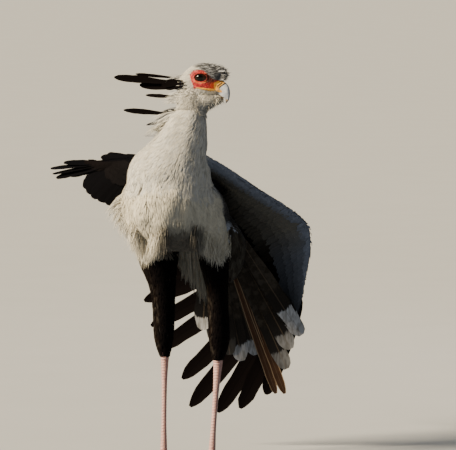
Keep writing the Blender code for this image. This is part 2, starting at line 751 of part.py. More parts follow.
def build_right_wing():
    """The lifted wing, swung back and half closed, with its hand feathers turned level."""
    arm, hand, past_arm, past_hand = split_wing(RIGHT_WING, RIGHT_WRIST, -1)
    roots = flight_roots(arm, len(RIGHT_SECONDARIES), *ROOTS["right_arm"])
    feathers = remiges(roots, RIGHT_SECONDARIES, 0.050, -SHINGLE)
    feathers += coverts(roots[:-2], RIGHT_SECONDARIES, UPPER_COVERTS, 0.046, -SHINGLE)
    for k, tip in enumerate(RIGHT_TERTIALS):
        root = Vector((-0.128, -0.030, 0.903)) + Vector((-0.009, 0.016, -0.002)) * k
        feathers.append(vane(root, Vector(tip), Vector((-0.9, -0.3, 0.2)), 0.024, FLIGHT))
    arm_piece = wing_piece("wing_right_arm", arm, feathers, past_hand)
    boolean(arm_piece, [*body_cutters(), tail_form(GAP)], "DIFFERENCE")
    roots = flight_roots(hand, len(RIGHT_PRIMARIES), *ROOTS["right_hand"])
    feathers = []
    for k, ((root, up), tip) in enumerate(zip(roots, RIGHT_PRIMARIES)):
        facing = up.lerp(PRIMARY_FACING, min(1, max(0, k - 1) / 3)).normalized()
        layer = facing * (0.0016 * (k - 3))
        feathers.append(vane(root + layer, Vector(tip) + layer, facing, 0.030, FLIGHT))
    wing_piece("wing_right_hand", hand, feathers, past_arm)


def tail_form(grow):
    side, back = Vector((1, 0, 0)), Vector((0, 1, 0))
    rings = []
    for x, y, z, half, deep in TAIL_BODY:
        deep += grow
        rings.append(ring(Vector((x, y, z)), side, back, half + grow, deep, deep, 16))
    return loft("tail", rings)


def tail_coverts(root_depth, tip_depth, tip_height):
    """A row of rounded feathers over the roots of the tail feathers, the middle one outermost."""
    found = []
    for k in range(-2, 3):
        layer = math.copysign(0.0018 * abs(k) + 0.0009 * (k > 0), -root_depth)
        root = Vector((0.076 + 0.029 * k, TAIL_ROOT.y + root_depth + layer, 0.652 - 0.006 * abs(k)))
        tip = Vector((0.058 + 0.048 * k, TAIL_ROOT.y + tip_depth + layer, tip_height + 0.003 * k * k))
        found.append(vane(root, tip, Vector((0, 1, 0)), 0.054, COVERT))
    return found


def build_tail():
    """The fleshy root with the tail feathers stacked like cards, the middle pair at the back."""
    middle = (len(TAIL_TIPS) - 1) / 2
    feathers = []
    for k, tip in enumerate(TAIL_TIPS):
        beside = abs(k - middle)
        depth = 0.009 - 0.0028 * beside - 0.0014 * (k < middle)
        root = TAIL_ROOT + Vector((0.0055 * (k - middle), depth, 0))
        width = TAIL_FEATHER_WIDTH * (0.8 if beside < 1 else 1)
        feathers.append(vane(root, Vector(tip), Vector((0.012 * (middle - k), 1, 0.1)), width, TAIL_VANE))
    for row in TAIL_COVERTS:
        feathers += tail_coverts(*row)
    tail = boolean(tail_form(0), feathers, "UNION")
    boolean(tail, body_cutters(), "DIFFERENCE")


def leg_rings(rows, count, grow=0.0):
    side, ahead = Vector((1, 0, 0)), Vector((0, 1, 0))
    rings = []
    for x, y, z, half, deep in rows:
        rings.append(ring(Vector((x, y, z)), side, ahead, half + grow, deep + grow, deep + grow, count))
    return rings


def toe_rings(foot, turn, length, half):
    """Rings of one toe, a padded finger that lies on the floor, with its forward and sideways directions."""
    angle = BODY_TURN - math.radians(turn)
    ahead = Vector((-math.sin(angle), -math.cos(angle), 0))
    side = Vector((ahead.y, -ahead.x, 0))
    pads = ((0.0, 1.15), (0.22, 1.05), (0.42, 0.86), (0.55, 0.98), (0.74, 0.80), (0.88, 0.88), (1.0, 0.55))
    rings = []
    for share, broad in pads:
        size = half * broad
        centre = foot + ahead * (length * share) + Vector((0, 0, size * 0.93))
        rings.append(ring(centre, side, Vector((0, 0, 1)), size, size, size, 10))
    return rings, ahead, side


def claw_rings(foot, ahead, side, length, half):
    """A curved claw from the end of a toe down to the floor."""
    curve = (
        (-0.25, 0.95, 0.55),
        (0.1, 1.15, 0.56),
        (0.45, 1.05, 0.42),
        (0.78, 0.62, 0.26),
        (1.0, 0.16, 0.07),
    )
    rings = []
    for share, rise, broad in curve:
        centre = foot + ahead * (length + CLAW_LENGTH * share) + Vector((0, 0, half * rise))
        size = half * broad
        rings.append(ring(centre, side, Vector((0, 0, 1)), size, size, size, 6))
    return rings


def build_leg(side, thigh_rows, tarsus_rows, foot_at):
    thigh = loft(f"thigh_{side}", leg_rings(thigh_rows, 16))
    ankle = leg_rings(tarsus_rows, 14, GAP)
    boolean(thigh, [loft("cutter", torso_rings(GAP)), loft("cutter", ankle)], "DIFFERENCE")
    loft(f"tarsus_{side}", leg_rings(tarsus_rows, 14))
    axes = (Vector((1, 0, 0)), Vector((0, 1, 0)), Vector((0, 0, 1)))
    foot = ellipsoid(f"foot_{side}", foot_at + Vector((0, 0.002, 0.014)), axes, HUB_RADII, 14, 8)
    toes = []
    for k, (turn, length, half) in enumerate(TOES):
        rings, ahead, across = toe_rings(foot_at, turn if side == "right" else -turn, length, half)
        toes.append(loft("toe", rings))
        claw = loft(f"claw_{side}_{k + 1}", claw_rings(foot_at, ahead, across, length, half))
        boolean(claw, [loft("cutter", grown(rings, GAP))], "DIFFERENCE")
    boolean(foot, toes, "UNION")
    boolean(foot, [loft("cutter", ankle), slab(foot_at)], "DIFFERENCE")


def grown(rings, grow):
    """Rings widened about their own middles, and the last one pushed on by the same amount."""
    found = []
    for one in rings:
        middle = sum(one, Vector()) / len(one)
        found.append([p + (p - middle).normalized() * grow for p in one])
    on = (sum(rings[-1], Vector()) - sum(rings[-2], Vector())).normalized() * grow
    found[-1] = [p + on for p in found[-1]]
    return found


def slab(foot_at):
    """The floor under one foot."""
    work = bmesh.new()
    bmesh.ops.create_cube(work, size=1.0)
    for v in work.verts:
        v.co = Vector((foot_at.x + v.co.x * 0.4, foot_at.y + v.co.y * 0.4, (v.co.z - 0.5) * 0.05))
    mesh = bpy.data.meshes.new("floor")
    work.to_mesh(mesh)
    work.free()
    made = bpy.data.objects.new("floor", mesh)
    bpy.context.scene.collection.objects.link(made)
    return made


def body_cutters():
    """The torso and the lower neck, a gap larger than they are."""
    return [loft("cutter", torso_rings(GAP)), loft("cutter", neck_rings(0, NECK_SPLIT, GAP))]


def stand_on_origin():
    """Moves the whole bird so that the middle of its footprint is the origin."""
    things = [o for o in bpy.data.objects if o.type == "MESH"]
    points = np.vstack([np.array([v.co for v in o.data.vertices]) for o in things])
    middle = (points.min(0) + points.max(0)) / 2
    move = Matrix.Translation((-middle[0], -middle[1], -points.min(0)[2]))
    for thing in things:
        thing.data.transform(move)


def colour_all():
    looks = {
        "head": ("skin_red", (0.80, 0.16, 0.06), 0.6),
        "bill": ("bill_horn", (0.66, 0.70, 0.72), 0.45),
        "eye": ("eye_dark", (0.02, 0.015, 0.01), 0.15),
        "neck": ("plumage_white", (0.80, 0.76, 0.68), 0.9),
        "torso": ("plumage_white", (0.80, 0.76, 0.68), 0.9),
        "tail": ("plumage_grey", (0.22, 0.20, 0.18), 0.85),
        "wing": ("plumage_black", (0.03, 0.03, 0.035), 0.7),
        "thigh": ("plumage_black", (0.03, 0.03, 0.035), 0.7),
        "tarsus": ("leg_scale", (0.72, 0.52, 0.48), 0.6),
        "foot": ("leg_scale", (0.72, 0.52, 0.48), 0.6),
        "claw": ("claw_horn", (0.10, 0.09, 0.085), 0.4),
    }
    for thing in [o for o in bpy.data.objects if o.type == "MESH"]:
        thing.data.materials.clear()
        thing.data.materials.append(material(*looks[thing.name.split("_")[0]]))


clear_scene()
build_torso()
build_neck()
build_head()
eye_ball("eye_right", 1)
eye_ball("eye_left", -1)
build_bill()
build_tail()
build_left_wing()
build_right_wing()
build_leg("right", THIGH_RIGHT, TARSUS_RIGHT, FOOT_RIGHT)
build_leg("left", THIGH_LEFT, TARSUS_LEFT, FOOT_LEFT)
stand_on_origin()
colour_all()
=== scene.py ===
"""Looks of the secretary bird: one closed skin, the plumage laid over it, bill, eyes, scutes, floor and light.

Lengths are metres. The tables of forms are in the bird's own frame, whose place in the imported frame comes
from the right eye.
"""

import math

import bmesh
import bpy
import numpy as np
from mathutils import Matrix, Vector
from mathutils.bvhtree import BVHTree
from mathutils.kdtree import KDTree


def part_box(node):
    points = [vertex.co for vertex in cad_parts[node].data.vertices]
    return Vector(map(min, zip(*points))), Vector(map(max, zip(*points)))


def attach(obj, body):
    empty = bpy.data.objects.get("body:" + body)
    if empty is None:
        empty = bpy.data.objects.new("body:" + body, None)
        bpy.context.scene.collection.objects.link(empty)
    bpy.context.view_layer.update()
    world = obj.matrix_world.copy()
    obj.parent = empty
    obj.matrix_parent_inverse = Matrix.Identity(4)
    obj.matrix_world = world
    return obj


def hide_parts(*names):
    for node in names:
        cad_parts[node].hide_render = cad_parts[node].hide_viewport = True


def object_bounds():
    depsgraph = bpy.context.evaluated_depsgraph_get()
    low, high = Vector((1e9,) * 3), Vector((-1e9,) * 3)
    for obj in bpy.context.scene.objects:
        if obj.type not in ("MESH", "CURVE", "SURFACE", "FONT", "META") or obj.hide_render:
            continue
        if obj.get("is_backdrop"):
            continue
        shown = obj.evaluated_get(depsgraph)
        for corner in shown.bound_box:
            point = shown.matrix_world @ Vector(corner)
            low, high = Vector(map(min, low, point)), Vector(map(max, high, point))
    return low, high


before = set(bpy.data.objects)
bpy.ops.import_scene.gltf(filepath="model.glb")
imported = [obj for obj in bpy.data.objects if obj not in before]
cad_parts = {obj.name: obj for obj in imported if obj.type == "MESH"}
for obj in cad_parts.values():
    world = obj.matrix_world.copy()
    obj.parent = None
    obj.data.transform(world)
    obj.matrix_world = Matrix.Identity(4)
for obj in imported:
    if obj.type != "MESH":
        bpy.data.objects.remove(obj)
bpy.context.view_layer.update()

BODY_TURN = math.radians(22)
HIP_CENTRE = Vector((-0.016, 0.020, 0.0))
HEAD_TURN = math.radians(18)
HEAD_CENTRE = Vector((0.0315, -0.085, 1.1605))

EYE_RADII = (0.0195, 0.0145, 0.0145)
EYE_AHEAD = 0.010
EYE_OUT = 0.0185
LID_OUT = 0.0275
LID_HALF = (0.0175, 0.0122)
LID_ROUND = 0.0027

# Skin stations of the torso: forward, sideways, height, half width, rise, drop
TORSO = (
    (-0.180, 0.040, 0.705, 0.018, 0.016, 0.018),
    (-0.162, 0.036, 0.712, 0.040, 0.032, 0.034),
    (-0.130, 0.027, 0.728, 0.066, 0.052, 0.060),
    (-0.090, 0.012, 0.750, 0.088, 0.080, 0.096),
    (-0.020, -0.002, 0.760, 0.118, 0.102, 0.130),
    (0.050, -0.006, 0.772, 0.138, 0.114, 0.138),
    (0.115, -0.008, 0.780, 0.143, 0.118, 0.138),
    (0.175, -0.004, 0.788, 0.126, 0.104, 0.124),
    (0.220, 0.000, 0.796, 0.096, 0.078, 0.100),
    (0.252, 0.000, 0.794, 0.056, 0.046, 0.058),
    (0.266, 0.000, 0.793, 0.018, 0.016, 0.018),
)

# Stations up the neck: x, y, z, half width across, half depth
NECK = (
    (-0.060, -0.110, 0.780, 0.110, 0.090),
    (-0.058, -0.122, 0.855, 0.129, 0.100),
    (-0.042, -0.126, 0.909, 0.107, 0.092),
    (-0.0315, -0.123, 0.940, 0.0860, 0.081),
    (-0.018, -0.114, 0.974, 0.0740, 0.066),
    (-0.008, -0.102, 1.010, 0.0610, 0.057),
    (0.000, -0.091, 1.035, 0.050, 0.048),
    (0.0070, -0.084, 1.063, 0.0385, 0.042),
    (0.0070, -0.082, 1.095, 0.0365, 0.040),
    (0.0060, -0.082, 1.128, 0.0240, 0.026),
)
NECK_SPLIT = 4.1
HEAD_SPLIT = 7.2

# Rings of the skull by their crown and chin points: forward and height of each, then the half width
SKULL = (
    (-0.066, -0.010, -0.066, -0.034, 0.010),
    (-0.056, 0.002, -0.060, -0.052, 0.021),
    (-0.038, 0.018, -0.044, -0.066, 0.0270),
    (-0.018, 0.032, -0.024, -0.070, 0.0300),
    (0.004, 0.0380, -0.002, -0.072, 0.0305),
    (0.026, 0.0355, 0.016, -0.072, 0.0285),
    (0.045, 0.0315, 0.030, -0.070, 0.0235),
    (0.060, 0.0260, 0.040, -0.067, 0.0180),
    (0.0700, 0.0180, 0.047, -0.064, 0.0130),
    (0.0735, 0.0050, 0.052, -0.061, 0.0085),
    (0.0725, -0.005, 0.055, -0.056, 0.0040),
)
# The loose feathering under the bill: forward, height, half width, rise, drop
THROAT = (
    (-0.062, -0.066, 0.022, 0.030, 0.030),
    (-0.040, -0.072, 0.031, 0.036, 0.034),
    (-0.008, -0.073, 0.0335, 0.036, 0.034),
    (0.016, -0.069, 0.0300, 0.032, 0.030),
    (0.034, -0.067, 0.0240, 0.025, 0.022),
    (0.048, -0.0655, 0.0178, 0.0185, 0.017),
    (0.059, -0.0655, 0.0125, 0.0120, 0.012),
    (0.066, -0.066, 0.0060, 0.0055, 0.006),
)

# Bill rings by their upper and lower points: forward and height of each, then the half width
BILL_UPPER = (
    (0.040, -0.012, 0.030, -0.0445, 0.0150),
    (0.053, -0.0105, 0.043, -0.0462, 0.0150),
    (0.063, -0.0105, 0.053, -0.0480, 0.0143),
    (0.073, -0.0140, 0.062, -0.0548, 0.0128),
    (0.082, -0.0205, 0.070, -0.0600, 0.0110),
    (0.0895, -0.031, 0.0765, -0.0632, 0.0090),
    (0.0925, -0.044, 0.0790, -0.0658, 0.0070),
    (0.0925, -0.057, 0.0797, -0.0690, 0.0050),
    (0.0895, -0.0690, 0.0800, -0.0745, 0.0032),
    (0.0830, -0.0775, 0.0800, -0.0785, 0.0010),
)
BILL_LOWER = (
    (0.030, -0.0452, 0.030, -0.0590, 0.0128),
    (0.043, -0.0469, 0.042, -0.0630, 0.0122),
    (0.053, -0.0487, 0.051, -0.0660, 0.0105),
    (0.060, -0.0545, 0.058, -0.0680, 0.0085),
    (0.067, -0.0595, 0.065, -0.0685, 0.0055),
    (0.0720, -0.0632, 0.0715, -0.0668, 0.0020),
)
NOSTRIL_AT = (0.0690, 0.0135, -0.0270)
NOSTRIL_HALF = (0.0012, 0.0055, 0.0050)
MOUTH_LINE = ((-0.013, -0.0365), (0.013, -0.0415), (0.036, -0.0450))

# Stations along the front edge of each wing: place, the point its section aims at, chord and thickness
LEFT_WING = (
    (0.030, -0.090, 0.925, 0.000, 0.200, 0.800, 0.105, 0.034),
    (0.120, -0.040, 0.873, 0.010, 0.300, 0.750, 0.135, 0.030),
    (0.213, 0.010, 0.812, -0.020, 0.340, 0.680, 0.145, 0.024),
    (0.321, 0.060, 0.742, -0.080, 0.370, 0.580, 0.145, 0.019),
    (0.359, 0.085, 0.697, -0.130, 0.388, 0.480, 0.138, 0.017),
    (0.364, 0.120, 0.630, -0.100, 0.375, 0.350, 0.105, 0.015),
    (0.350, 0.155, 0.552, 0.000, 0.355, 0.138, 0.062, 0.011),
    (0.338, 0.185, 0.478, 0.120, 0.320, 0.130, 0.034, 0.007),
)
LEFT_WRIST = 4
RIGHT_WING = (
    (-0.120, -0.070, 0.915, -0.205, 0.270, 0.765, 0.150, 0.034),
    (-0.158, 0.000, 0.914, -0.258, 0.320, 0.757, 0.150, 0.028),
    (-0.190, 0.070, 0.905, -0.322, 0.400, 0.800, 0.125, 0.020),
    (-0.225, 0.140, 0.896, -0.350, 0.455, 0.814, 0.095, 0.015),
    (-0.256, 0.210, 0.887, -0.402, 0.560, 0.812, 0.070, 0.011),
    (-0.285, 0.275, 0.880, -0.417, 0.590, 0.840, 0.040, 0.007),
)
RIGHT_WRIST = 2
PRIMARY_FACING = Vector((-0.45, -0.10, 0.88)).normalized()

# Tips of the flight feathers, from the innermost of each group outwards
LEFT_SECONDARIES = (
    (0.022, 0.290, 0.805),
    (0.002, 0.330, 0.765),
    (-0.026, 0.355, 0.718),
    (-0.042, 0.364, 0.684),
    (-0.058, 0.371, 0.652),
    (-0.074, 0.377, 0.620),
    (-0.090, 0.381, 0.588),
    (-0.104, 0.384, 0.556),
    (-0.116, 0.387, 0.526),
    (-0.126, 0.388, 0.496),
)
LEFT_PRIMARIES = (
    (-0.144, 0.380, 0.450),
    (-0.123, 0.380, 0.373),
    (-0.101, 0.375, 0.299),
    (-0.027, 0.365, 0.211),
    (-0.003, 0.355, 0.126),
    (0.083, 0.335, 0.110),
    (0.151, 0.310, 0.125),
    (0.230, 0.270, 0.172),
)
RIGHT_SECONDARIES = (
    (-0.237, 0.270, 0.750),
    (-0.259, 0.295, 0.755),
    (-0.284, 0.320, 0.764),
    (-0.305, 0.345, 0.773),
    (-0.321, 0.370, 0.787),
    (-0.332, 0.392, 0.801),
)
RIGHT_PRIMARIES = (
    (-0.314, 0.400, 0.856),
    (-0.356, 0.460, 0.851),
    (-0.382, 0.500, 0.834),
    (-0.420, 0.560, 0.822),
    (-0.430, 0.578, 0.831),
    (-0.436, 0.590, 0.846),
    (-0.390, 0.500, 0.869),
)
# Long feathers over the back of the right wing's arm, as tips
RIGHT_TERTIALS = (
    (-0.203, 0.262, 0.902),
    (-0.231, 0.285, 0.902),
    (-0.256, 0.300, 0.906),
    (-0.275, 0.306, 0.898),
)

# Feather outlines as share of length and share of width
FLIGHT = ((0.0, 0.50), (0.28, 0.90), (0.68, 1.0), (0.92, 0.80), (1.0, 0.30))
COVERT = ((0.0, 0.60), (0.65, 1.0), (1.0, 0.36))
TAIL_VANE = ((0.0, 0.34), (0.45, 0.86), (0.92, 0.96), (1.0, 0.45))
CREST_VANE = ((0.0, 0.28), (0.35, 0.42), (0.66, 1.0), (0.87, 0.92), (1.0, 0.34))

# Where the flight feathers root: from and to as shares of the span, then of the chord
ROOTS = {
    "left_arm": ((0.30, 0.94), (0.70, 0.45)),
    "left_hand": ((0.07, 0.93), (0.45, 0.45)),
    "right_arm": ((0.15, 0.84), (0.55, 0.50)),
    "right_hand": ((0.12, 0.93), (0.45, 0.45)),
}
# Tiers of coverts: side of the wing (1 above), how far the root is ahead of the flight feather's, length, height
UPPER_COVERTS = (1, 0.012, 0.110, 0.0055)
LOWER_COVERTS = (-1, 0.012, 0.100, 0.0055)

# Tail: its fleshy root, and the tips of its feathers from its right side to its left
TAIL_BODY = (
    (0.072, 0.140, 0.745, 0.034, 0.032),
    (0.078, 0.140, 0.710, 0.056, 0.040),
    (0.080, 0.137, 0.660, 0.084, 0.034),
    (0.080, 0.137, 0.610, 0.086, 0.026),
    (0.086, 0.140, 0.565, 0.066, 0.017),
    (0.092, 0.143, 0.530, 0.036, 0.009),
)
TAIL_ROOT = Vector((0.084, 0.145, 0.712))
TAIL_TIPS = (
    (0.038, 0.170, 0.380),
    (0.078, 0.175, 0.337),
    (0.120, 0.180, 0.303),
    (0.157, 0.184, 0.284),
    (0.199, 0.188, 0.302),
    (0.260, 0.192, 0.183),
    (0.287, 0.190, 0.183),
    (0.293, 0.180, 0.260),
    (0.305, 0.165, 0.322),
    (0.338, 0.150, 0.366),
    (0.326, 0.138, 0.389),
    (0.308, 0.125, 0.411),
)
TAIL_FEATHER_WIDTH = 0.054
# Coverts of the tail's front and back faces: depth of root and of tip from the tail's root, and tip height
TAIL_COVERTS = ((-0.018, -0.030, 0.474), (0.016, 0.046, 0.500))

# Crest feathers as root, tip and greatest width, by the node they grow from
HEAD_CREST = (
    ((-0.004, -0.078, 1.150), (-0.162, -0.040, 1.166), 0.011),
    ((-0.008, -0.076, 1.138), (-0.226, -0.030, 1.156), 0.024),
    ((-0.010, -0.074, 1.124), (-0.150, -0.028, 1.133), 0.024),
    ((-0.012, -0.072, 1.098), (-0.132, -0.026, 1.102), 0.012),
)
NAPE_CREST = (
    ((-0.022, -0.080, 1.044), (-0.198, -0.030, 1.0575), 0.017),
    ((-0.018, -0.082, 1.043), (-0.130, -0.040, 1.013), 0.018),
)
MANE_CREST = (
    ((-0.055, -0.095, 0.992), (-0.114, -0.055, 1.003), 0.010),
    ((-0.055, -0.095, 0.982), (-0.138, -0.045, 0.981), 0.016),
)

# Legs, right then left: stations down the thigh (x, y, z, half width, half depth), then the tarsus and toes
THIGH_RIGHT = (
    (-0.098, 0.058, 0.778, 0.022, 0.028),
    (-0.099, 0.060, 0.758, 0.050, 0.062),
    (-0.098, 0.061, 0.715, 0.066, 0.076),
    (-0.096, 0.061, 0.670, 0.066, 0.074),
    (-0.096, 0.058, 0.600, 0.060, 0.062),
    (-0.084, 0.055, 0.523, 0.041, 0.048),
    (-0.0795, 0.053, 0.455, 0.0345, 0.040),
    (-0.0795, 0.054, 0.383, 0.0315, 0.034),
    (-0.0790, 0.057, 0.345, 0.0255, 0.027),
    (-0.0765, 0.060, 0.312, 0.0165, 0.0185),
)
THIGH_LEFT = (
    (0.048, -0.004, 0.778, 0.018, 0.028),
    (0.052, -0.004, 0.758, 0.040, 0.060),
    (0.060, -0.002, 0.715, 0.048, 0.074),
    (0.066, -0.005, 0.670, 0.046, 0.070),
    (0.072, -0.006, 0.600, 0.045, 0.060),
    (0.081, -0.007, 0.523, 0.034, 0.047),
    (0.084, -0.008, 0.465, 0.0315, 0.040),
    (0.087, -0.007, 0.385, 0.0330, 0.035),
    (0.0880, -0.004, 0.350, 0.0290, 0.029),
    (0.084, -0.001, 0.308, 0.0180, 0.0200),
)
TARSUS_RIGHT = (
    (-0.0765, 0.059, 0.325, 0.0095, 0.0100),
    (-0.0765, 0.062, 0.308, 0.0130, 0.0150),
    (-0.0770, 0.063, 0.285, 0.0115, 0.0140),
    (-0.0780, 0.055, 0.220, 0.0085, 0.0110),
    (-0.0790, 0.039, 0.110, 0.0080, 0.0105),
    (-0.0795, 0.031, 0.040, 0.0105, 0.0130),
    (-0.0797, 0.032, 0.026, 0.0105, 0.0130),
)
TARSUS_LEFT = (
    (0.084, -0.002, 0.322, 0.0105, 0.0110),
    (0.084, 0.001, 0.304, 0.0150, 0.0160),
    (0.083, 0.003, 0.280, 0.0135, 0.0150),
    (0.078, -0.004, 0.210, 0.0095, 0.0115),
    (0.071, -0.019, 0.110, 0.0085, 0.0105),
    (0.0665, -0.025, 0.040, 0.0110, 0.0130),
    (0.0660, -0.024, 0.026, 0.0110, 0.0130),
)
FOOT_RIGHT = Vector((-0.0797, 0.030, 0.0))
FOOT_LEFT = Vector((0.0660, -0.026, 0.0))
HUB_RADII = (0.0165, 0.0185, 0.0205)
# Each toe: direction from straight ahead in degrees, length and half thickness
TOES = (
    (28, 0.050, 0.0085),
    (0, 0.068, 0.0095),
    (-30, 0.054, 0.0088),
    (176, 0.026, 0.0075),
)
CLAW_LENGTH = 0.021

WHITE_DEPTH = 0.007
FACE_DEPTH = 0.0018
THIGH_DEPTH = 0.006
WING_DEPTH = 0.0035
BODY_VOXEL = 0.0056
HEAD_VOXEL = 0.0012
LEG_VOXEL = 0.0018

# Feather outlines as share of length and share of width
FLIGHT = ((0.0, 0.30), (0.06, 0.72), (0.2, 0.90), (0.45, 0.98), (0.7, 1.0), (0.88, 0.86), (0.96, 0.6), (1.0, 0.16))
RECTRIX = ((0.0, 0.10), (0.1, 0.40), (0.3, 0.74), (0.6, 0.95), (0.85, 1.0), (0.95, 0.85), (0.985, 0.6), (1.0, 0.3))
SPATULA = ((0.0, 0.30), (0.15, 0.46), (0.35, 0.56), (0.52, 0.78), (0.68, 1.0), (0.84, 0.94), (0.95, 0.62), (1.0, 0.2))
BODY_TUFT = ((0.0, 0.35), (0.33, 0.95), (0.70, 0.85), (1.0, 0.10))
ROUND_TUFT = ((0.0, 0.40), (0.40, 0.95), (0.80, 0.95), (1.0, 0.35))
HAIR_TUFT = ((0.0, 0.60), (0.45, 1.0), (1.0, 0.12))


def unit(v):
    """Vectors of length one, along the last axis."""
    v = np.asarray(v, float)
    return v / np.maximum(np.linalg.norm(v, axis=-1, keepdims=True), 1e-12)


AHEAD = np.array((math.cos(HEAD_TURN), -math.sin(HEAD_TURN), 0))
RIGHT = np.array((-math.sin(HEAD_TURN), -math.cos(HEAD_TURN), 0))
UP = np.array((0.0, 0.0, 1.0))
BODY_AHEAD = np.array((-math.sin(BODY_TURN), -math.cos(BODY_TURN), 0))
BODY_SIDE = np.array((math.cos(BODY_TURN), -math.sin(BODY_TURN), 0))


def body_point(forward, left, height):
    """A point given along the body's own forward and left directions."""
    return np.array(HIP_CENTRE) + BODY_AHEAD * forward + BODY_SIDE * left + UP * height


def head_point(forward, right, up):
    return np.array(HEAD_CENTRE) + AHEAD * forward + RIGHT * right + UP * up


eye_low, eye_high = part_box("eye_right")
SHIFT = np.array((eye_low + eye_high) / 2) - head_point(EYE_AHEAD, EYE_OUT, 0)


def smooth_rows(rows, steps):
    """Catmull-Rom rows through the given ones, with so many steps from one to the next."""
    rows = np.array(rows, float)
    padded = np.vstack([2 * rows[0] - rows[1], rows, 2 * rows[-1] - rows[-2]])
    found = []
    for i in range(len(rows) - 1):
        a, b, c, d = padded[i : i + 4]
        for t in np.arange(steps) / steps:
            square = 2 * a - 5 * b + 4 * c - d
            found.append(0.5 * (2 * b + (c - a) * t + square * t**2 + (3 * b - a - 3 * c + d) * t**3))
    return np.array([*found, rows[-1]])


def row_at(rows, place):
    """The row at a place along smooth_rows, counted in stations."""
    fine = smooth_rows(rows, 20)
    low = min(int(place * 20), len(fine) - 2)
    return fine[low] + (fine[low + 1] - fine[low]) * (place * 20 - low)


def ring(centre, side, up, half_width, rise, drop, count, above=2.0, below=2.0):
    """A closed outline round centre; above and below square off its upper and lower halves."""
    angle = np.linspace(0, 2 * np.pi, count, endpoint=False)
    across, along = np.cos(angle), np.sin(angle)
    power = np.where(along >= 0, 2 / above, 2 / below)
    across = np.sign(across) * np.abs(across) ** power
    along = np.sign(along) * np.abs(along) ** power
    tall = np.where(along >= 0, rise, drop)
    return centre + (half_width * across)[:, None] * side + (tall * along)[:, None] * up


def torso_form(grow):
    rings = []
    for forward, left, height, half, rise, drop in smooth_rows(TORSO, 5):
        sizes = np.maximum(np.array((half, rise, drop)) + grow, 0.004)
        rings.append(ring(body_point(forward, left, height), BODY_SIDE, UP, *sizes, 72, 2.0, 2.5))
    return np.array(rings)


def neck_form(start, end, grow):
    """The neck between two of its stations."""
    rings = []
    for place in np.arange(start, end + 0.01, 0.2):
        x, y, z, half, deep = row_at(NECK, min(place, len(NECK) - 1))
        ahead = row_at(NECK, min(place + 0.1, len(NECK) - 1))[:3]
        along = unit(ahead - row_at(NECK, max(place - 0.1, 0))[:3])
        across = unit(np.cross((0, 1, 0), along))
        deep, half = max(deep + grow, 0.004), max(half + grow, 0.004)
        rings.append(ring(np.array((x, y, z)), across, np.cross(along, across), half, deep, deep, 64))
    return np.array(rings)


def paired_form(rows, steps, count, grow=0.0, above=2.1, below=2.1):
    """A form of the head given by its upper and lower points."""
    rings = []
    for top_a, top_c, low_a, low_c, half in smooth_rows(rows, steps):
        top, low = head_point(top_a, 0, top_c), head_point(low_a, 0, low_c)
        tall = np.linalg.norm(top - low) / 2 + grow
        across = max(half, 0.0004) + grow
        rings.append(ring((top + low) / 2, RIGHT, unit(top - low), across, tall, tall, count, above, below))
    return np.array(rings)


def throat_form(grow):
    rows = smooth_rows(THROAT, 4)
    return np.array([ring(head_point(a, 0, c), RIGHT, UP, h + grow, r + grow, d + grow, 48) for a, c, h, r, d in rows])


def leg_form(rows, grow, count=40):
    side, ahead = np.array((1.0, 0, 0)), np.array((0, 1.0, 0))
    fine = smooth_rows(rows, 5)
    return np.array([ring(row[:3], side, ahead, row[3] + grow, row[4] + grow, row[4] + grow, count) for row in fine])


def tail_form(grow):
    side, ahead = np.array((1.0, 0, 0)), np.array((0, 1.0, 0))
    fine = smooth_rows(TAIL_BODY, 4)
    return np.array([ring(r[:3], side, ahead, r[3] + grow, r[4] + grow, r[4] + grow, 48) for r in fine])


def wing_frames(stations, steps, hand):
    """Smoothed stations as front edge, backward and upper directions, chord and thickness."""
    rows = smooth_rows(stations, steps)
    found = []
    for i, row in enumerate(rows):
        ahead, behind = rows[min(i + 1, len(rows) - 1)], rows[max(i - 1, 0)]
        span = unit(ahead[:3] - behind[:3])
        back = unit(row[3:6] - row[:3])
        up = unit(np.cross(back, span))
        if up @ (hand, 0, 1) < 0:
            up = -up
        found.append((row[:3], back, up, row[6], row[7]))
    return found


def wing_form(stations, hand, grow, count=14):
    """The fleshy section of a wing along its bones: round in front, thin behind."""
    share = (1 - np.cos(np.linspace(0, np.pi, count))) / 2
    thick = np.interp(share, (0, 0.02, 0.06, 0.15, 0.25, 0.6, 1.0), (0, 0.18, 0.32, 0.46, 0.5, 0.3, 0.07))
    rings = []
    for edge, back, up, chord, tall in wing_frames(stations, 4, hand):
        tall = np.maximum(tall * thick + grow, 0.0006)
        front = edge[None] - back * min(0, grow) + back * (chord + min(0, grow)) * share[:, None]
        upper, lower = front + up * tall[:, None], front - up * (tall * 0.8)[:, None]
        rings.append(np.vstack([upper, lower[::-1]]))
    return np.array(rings)


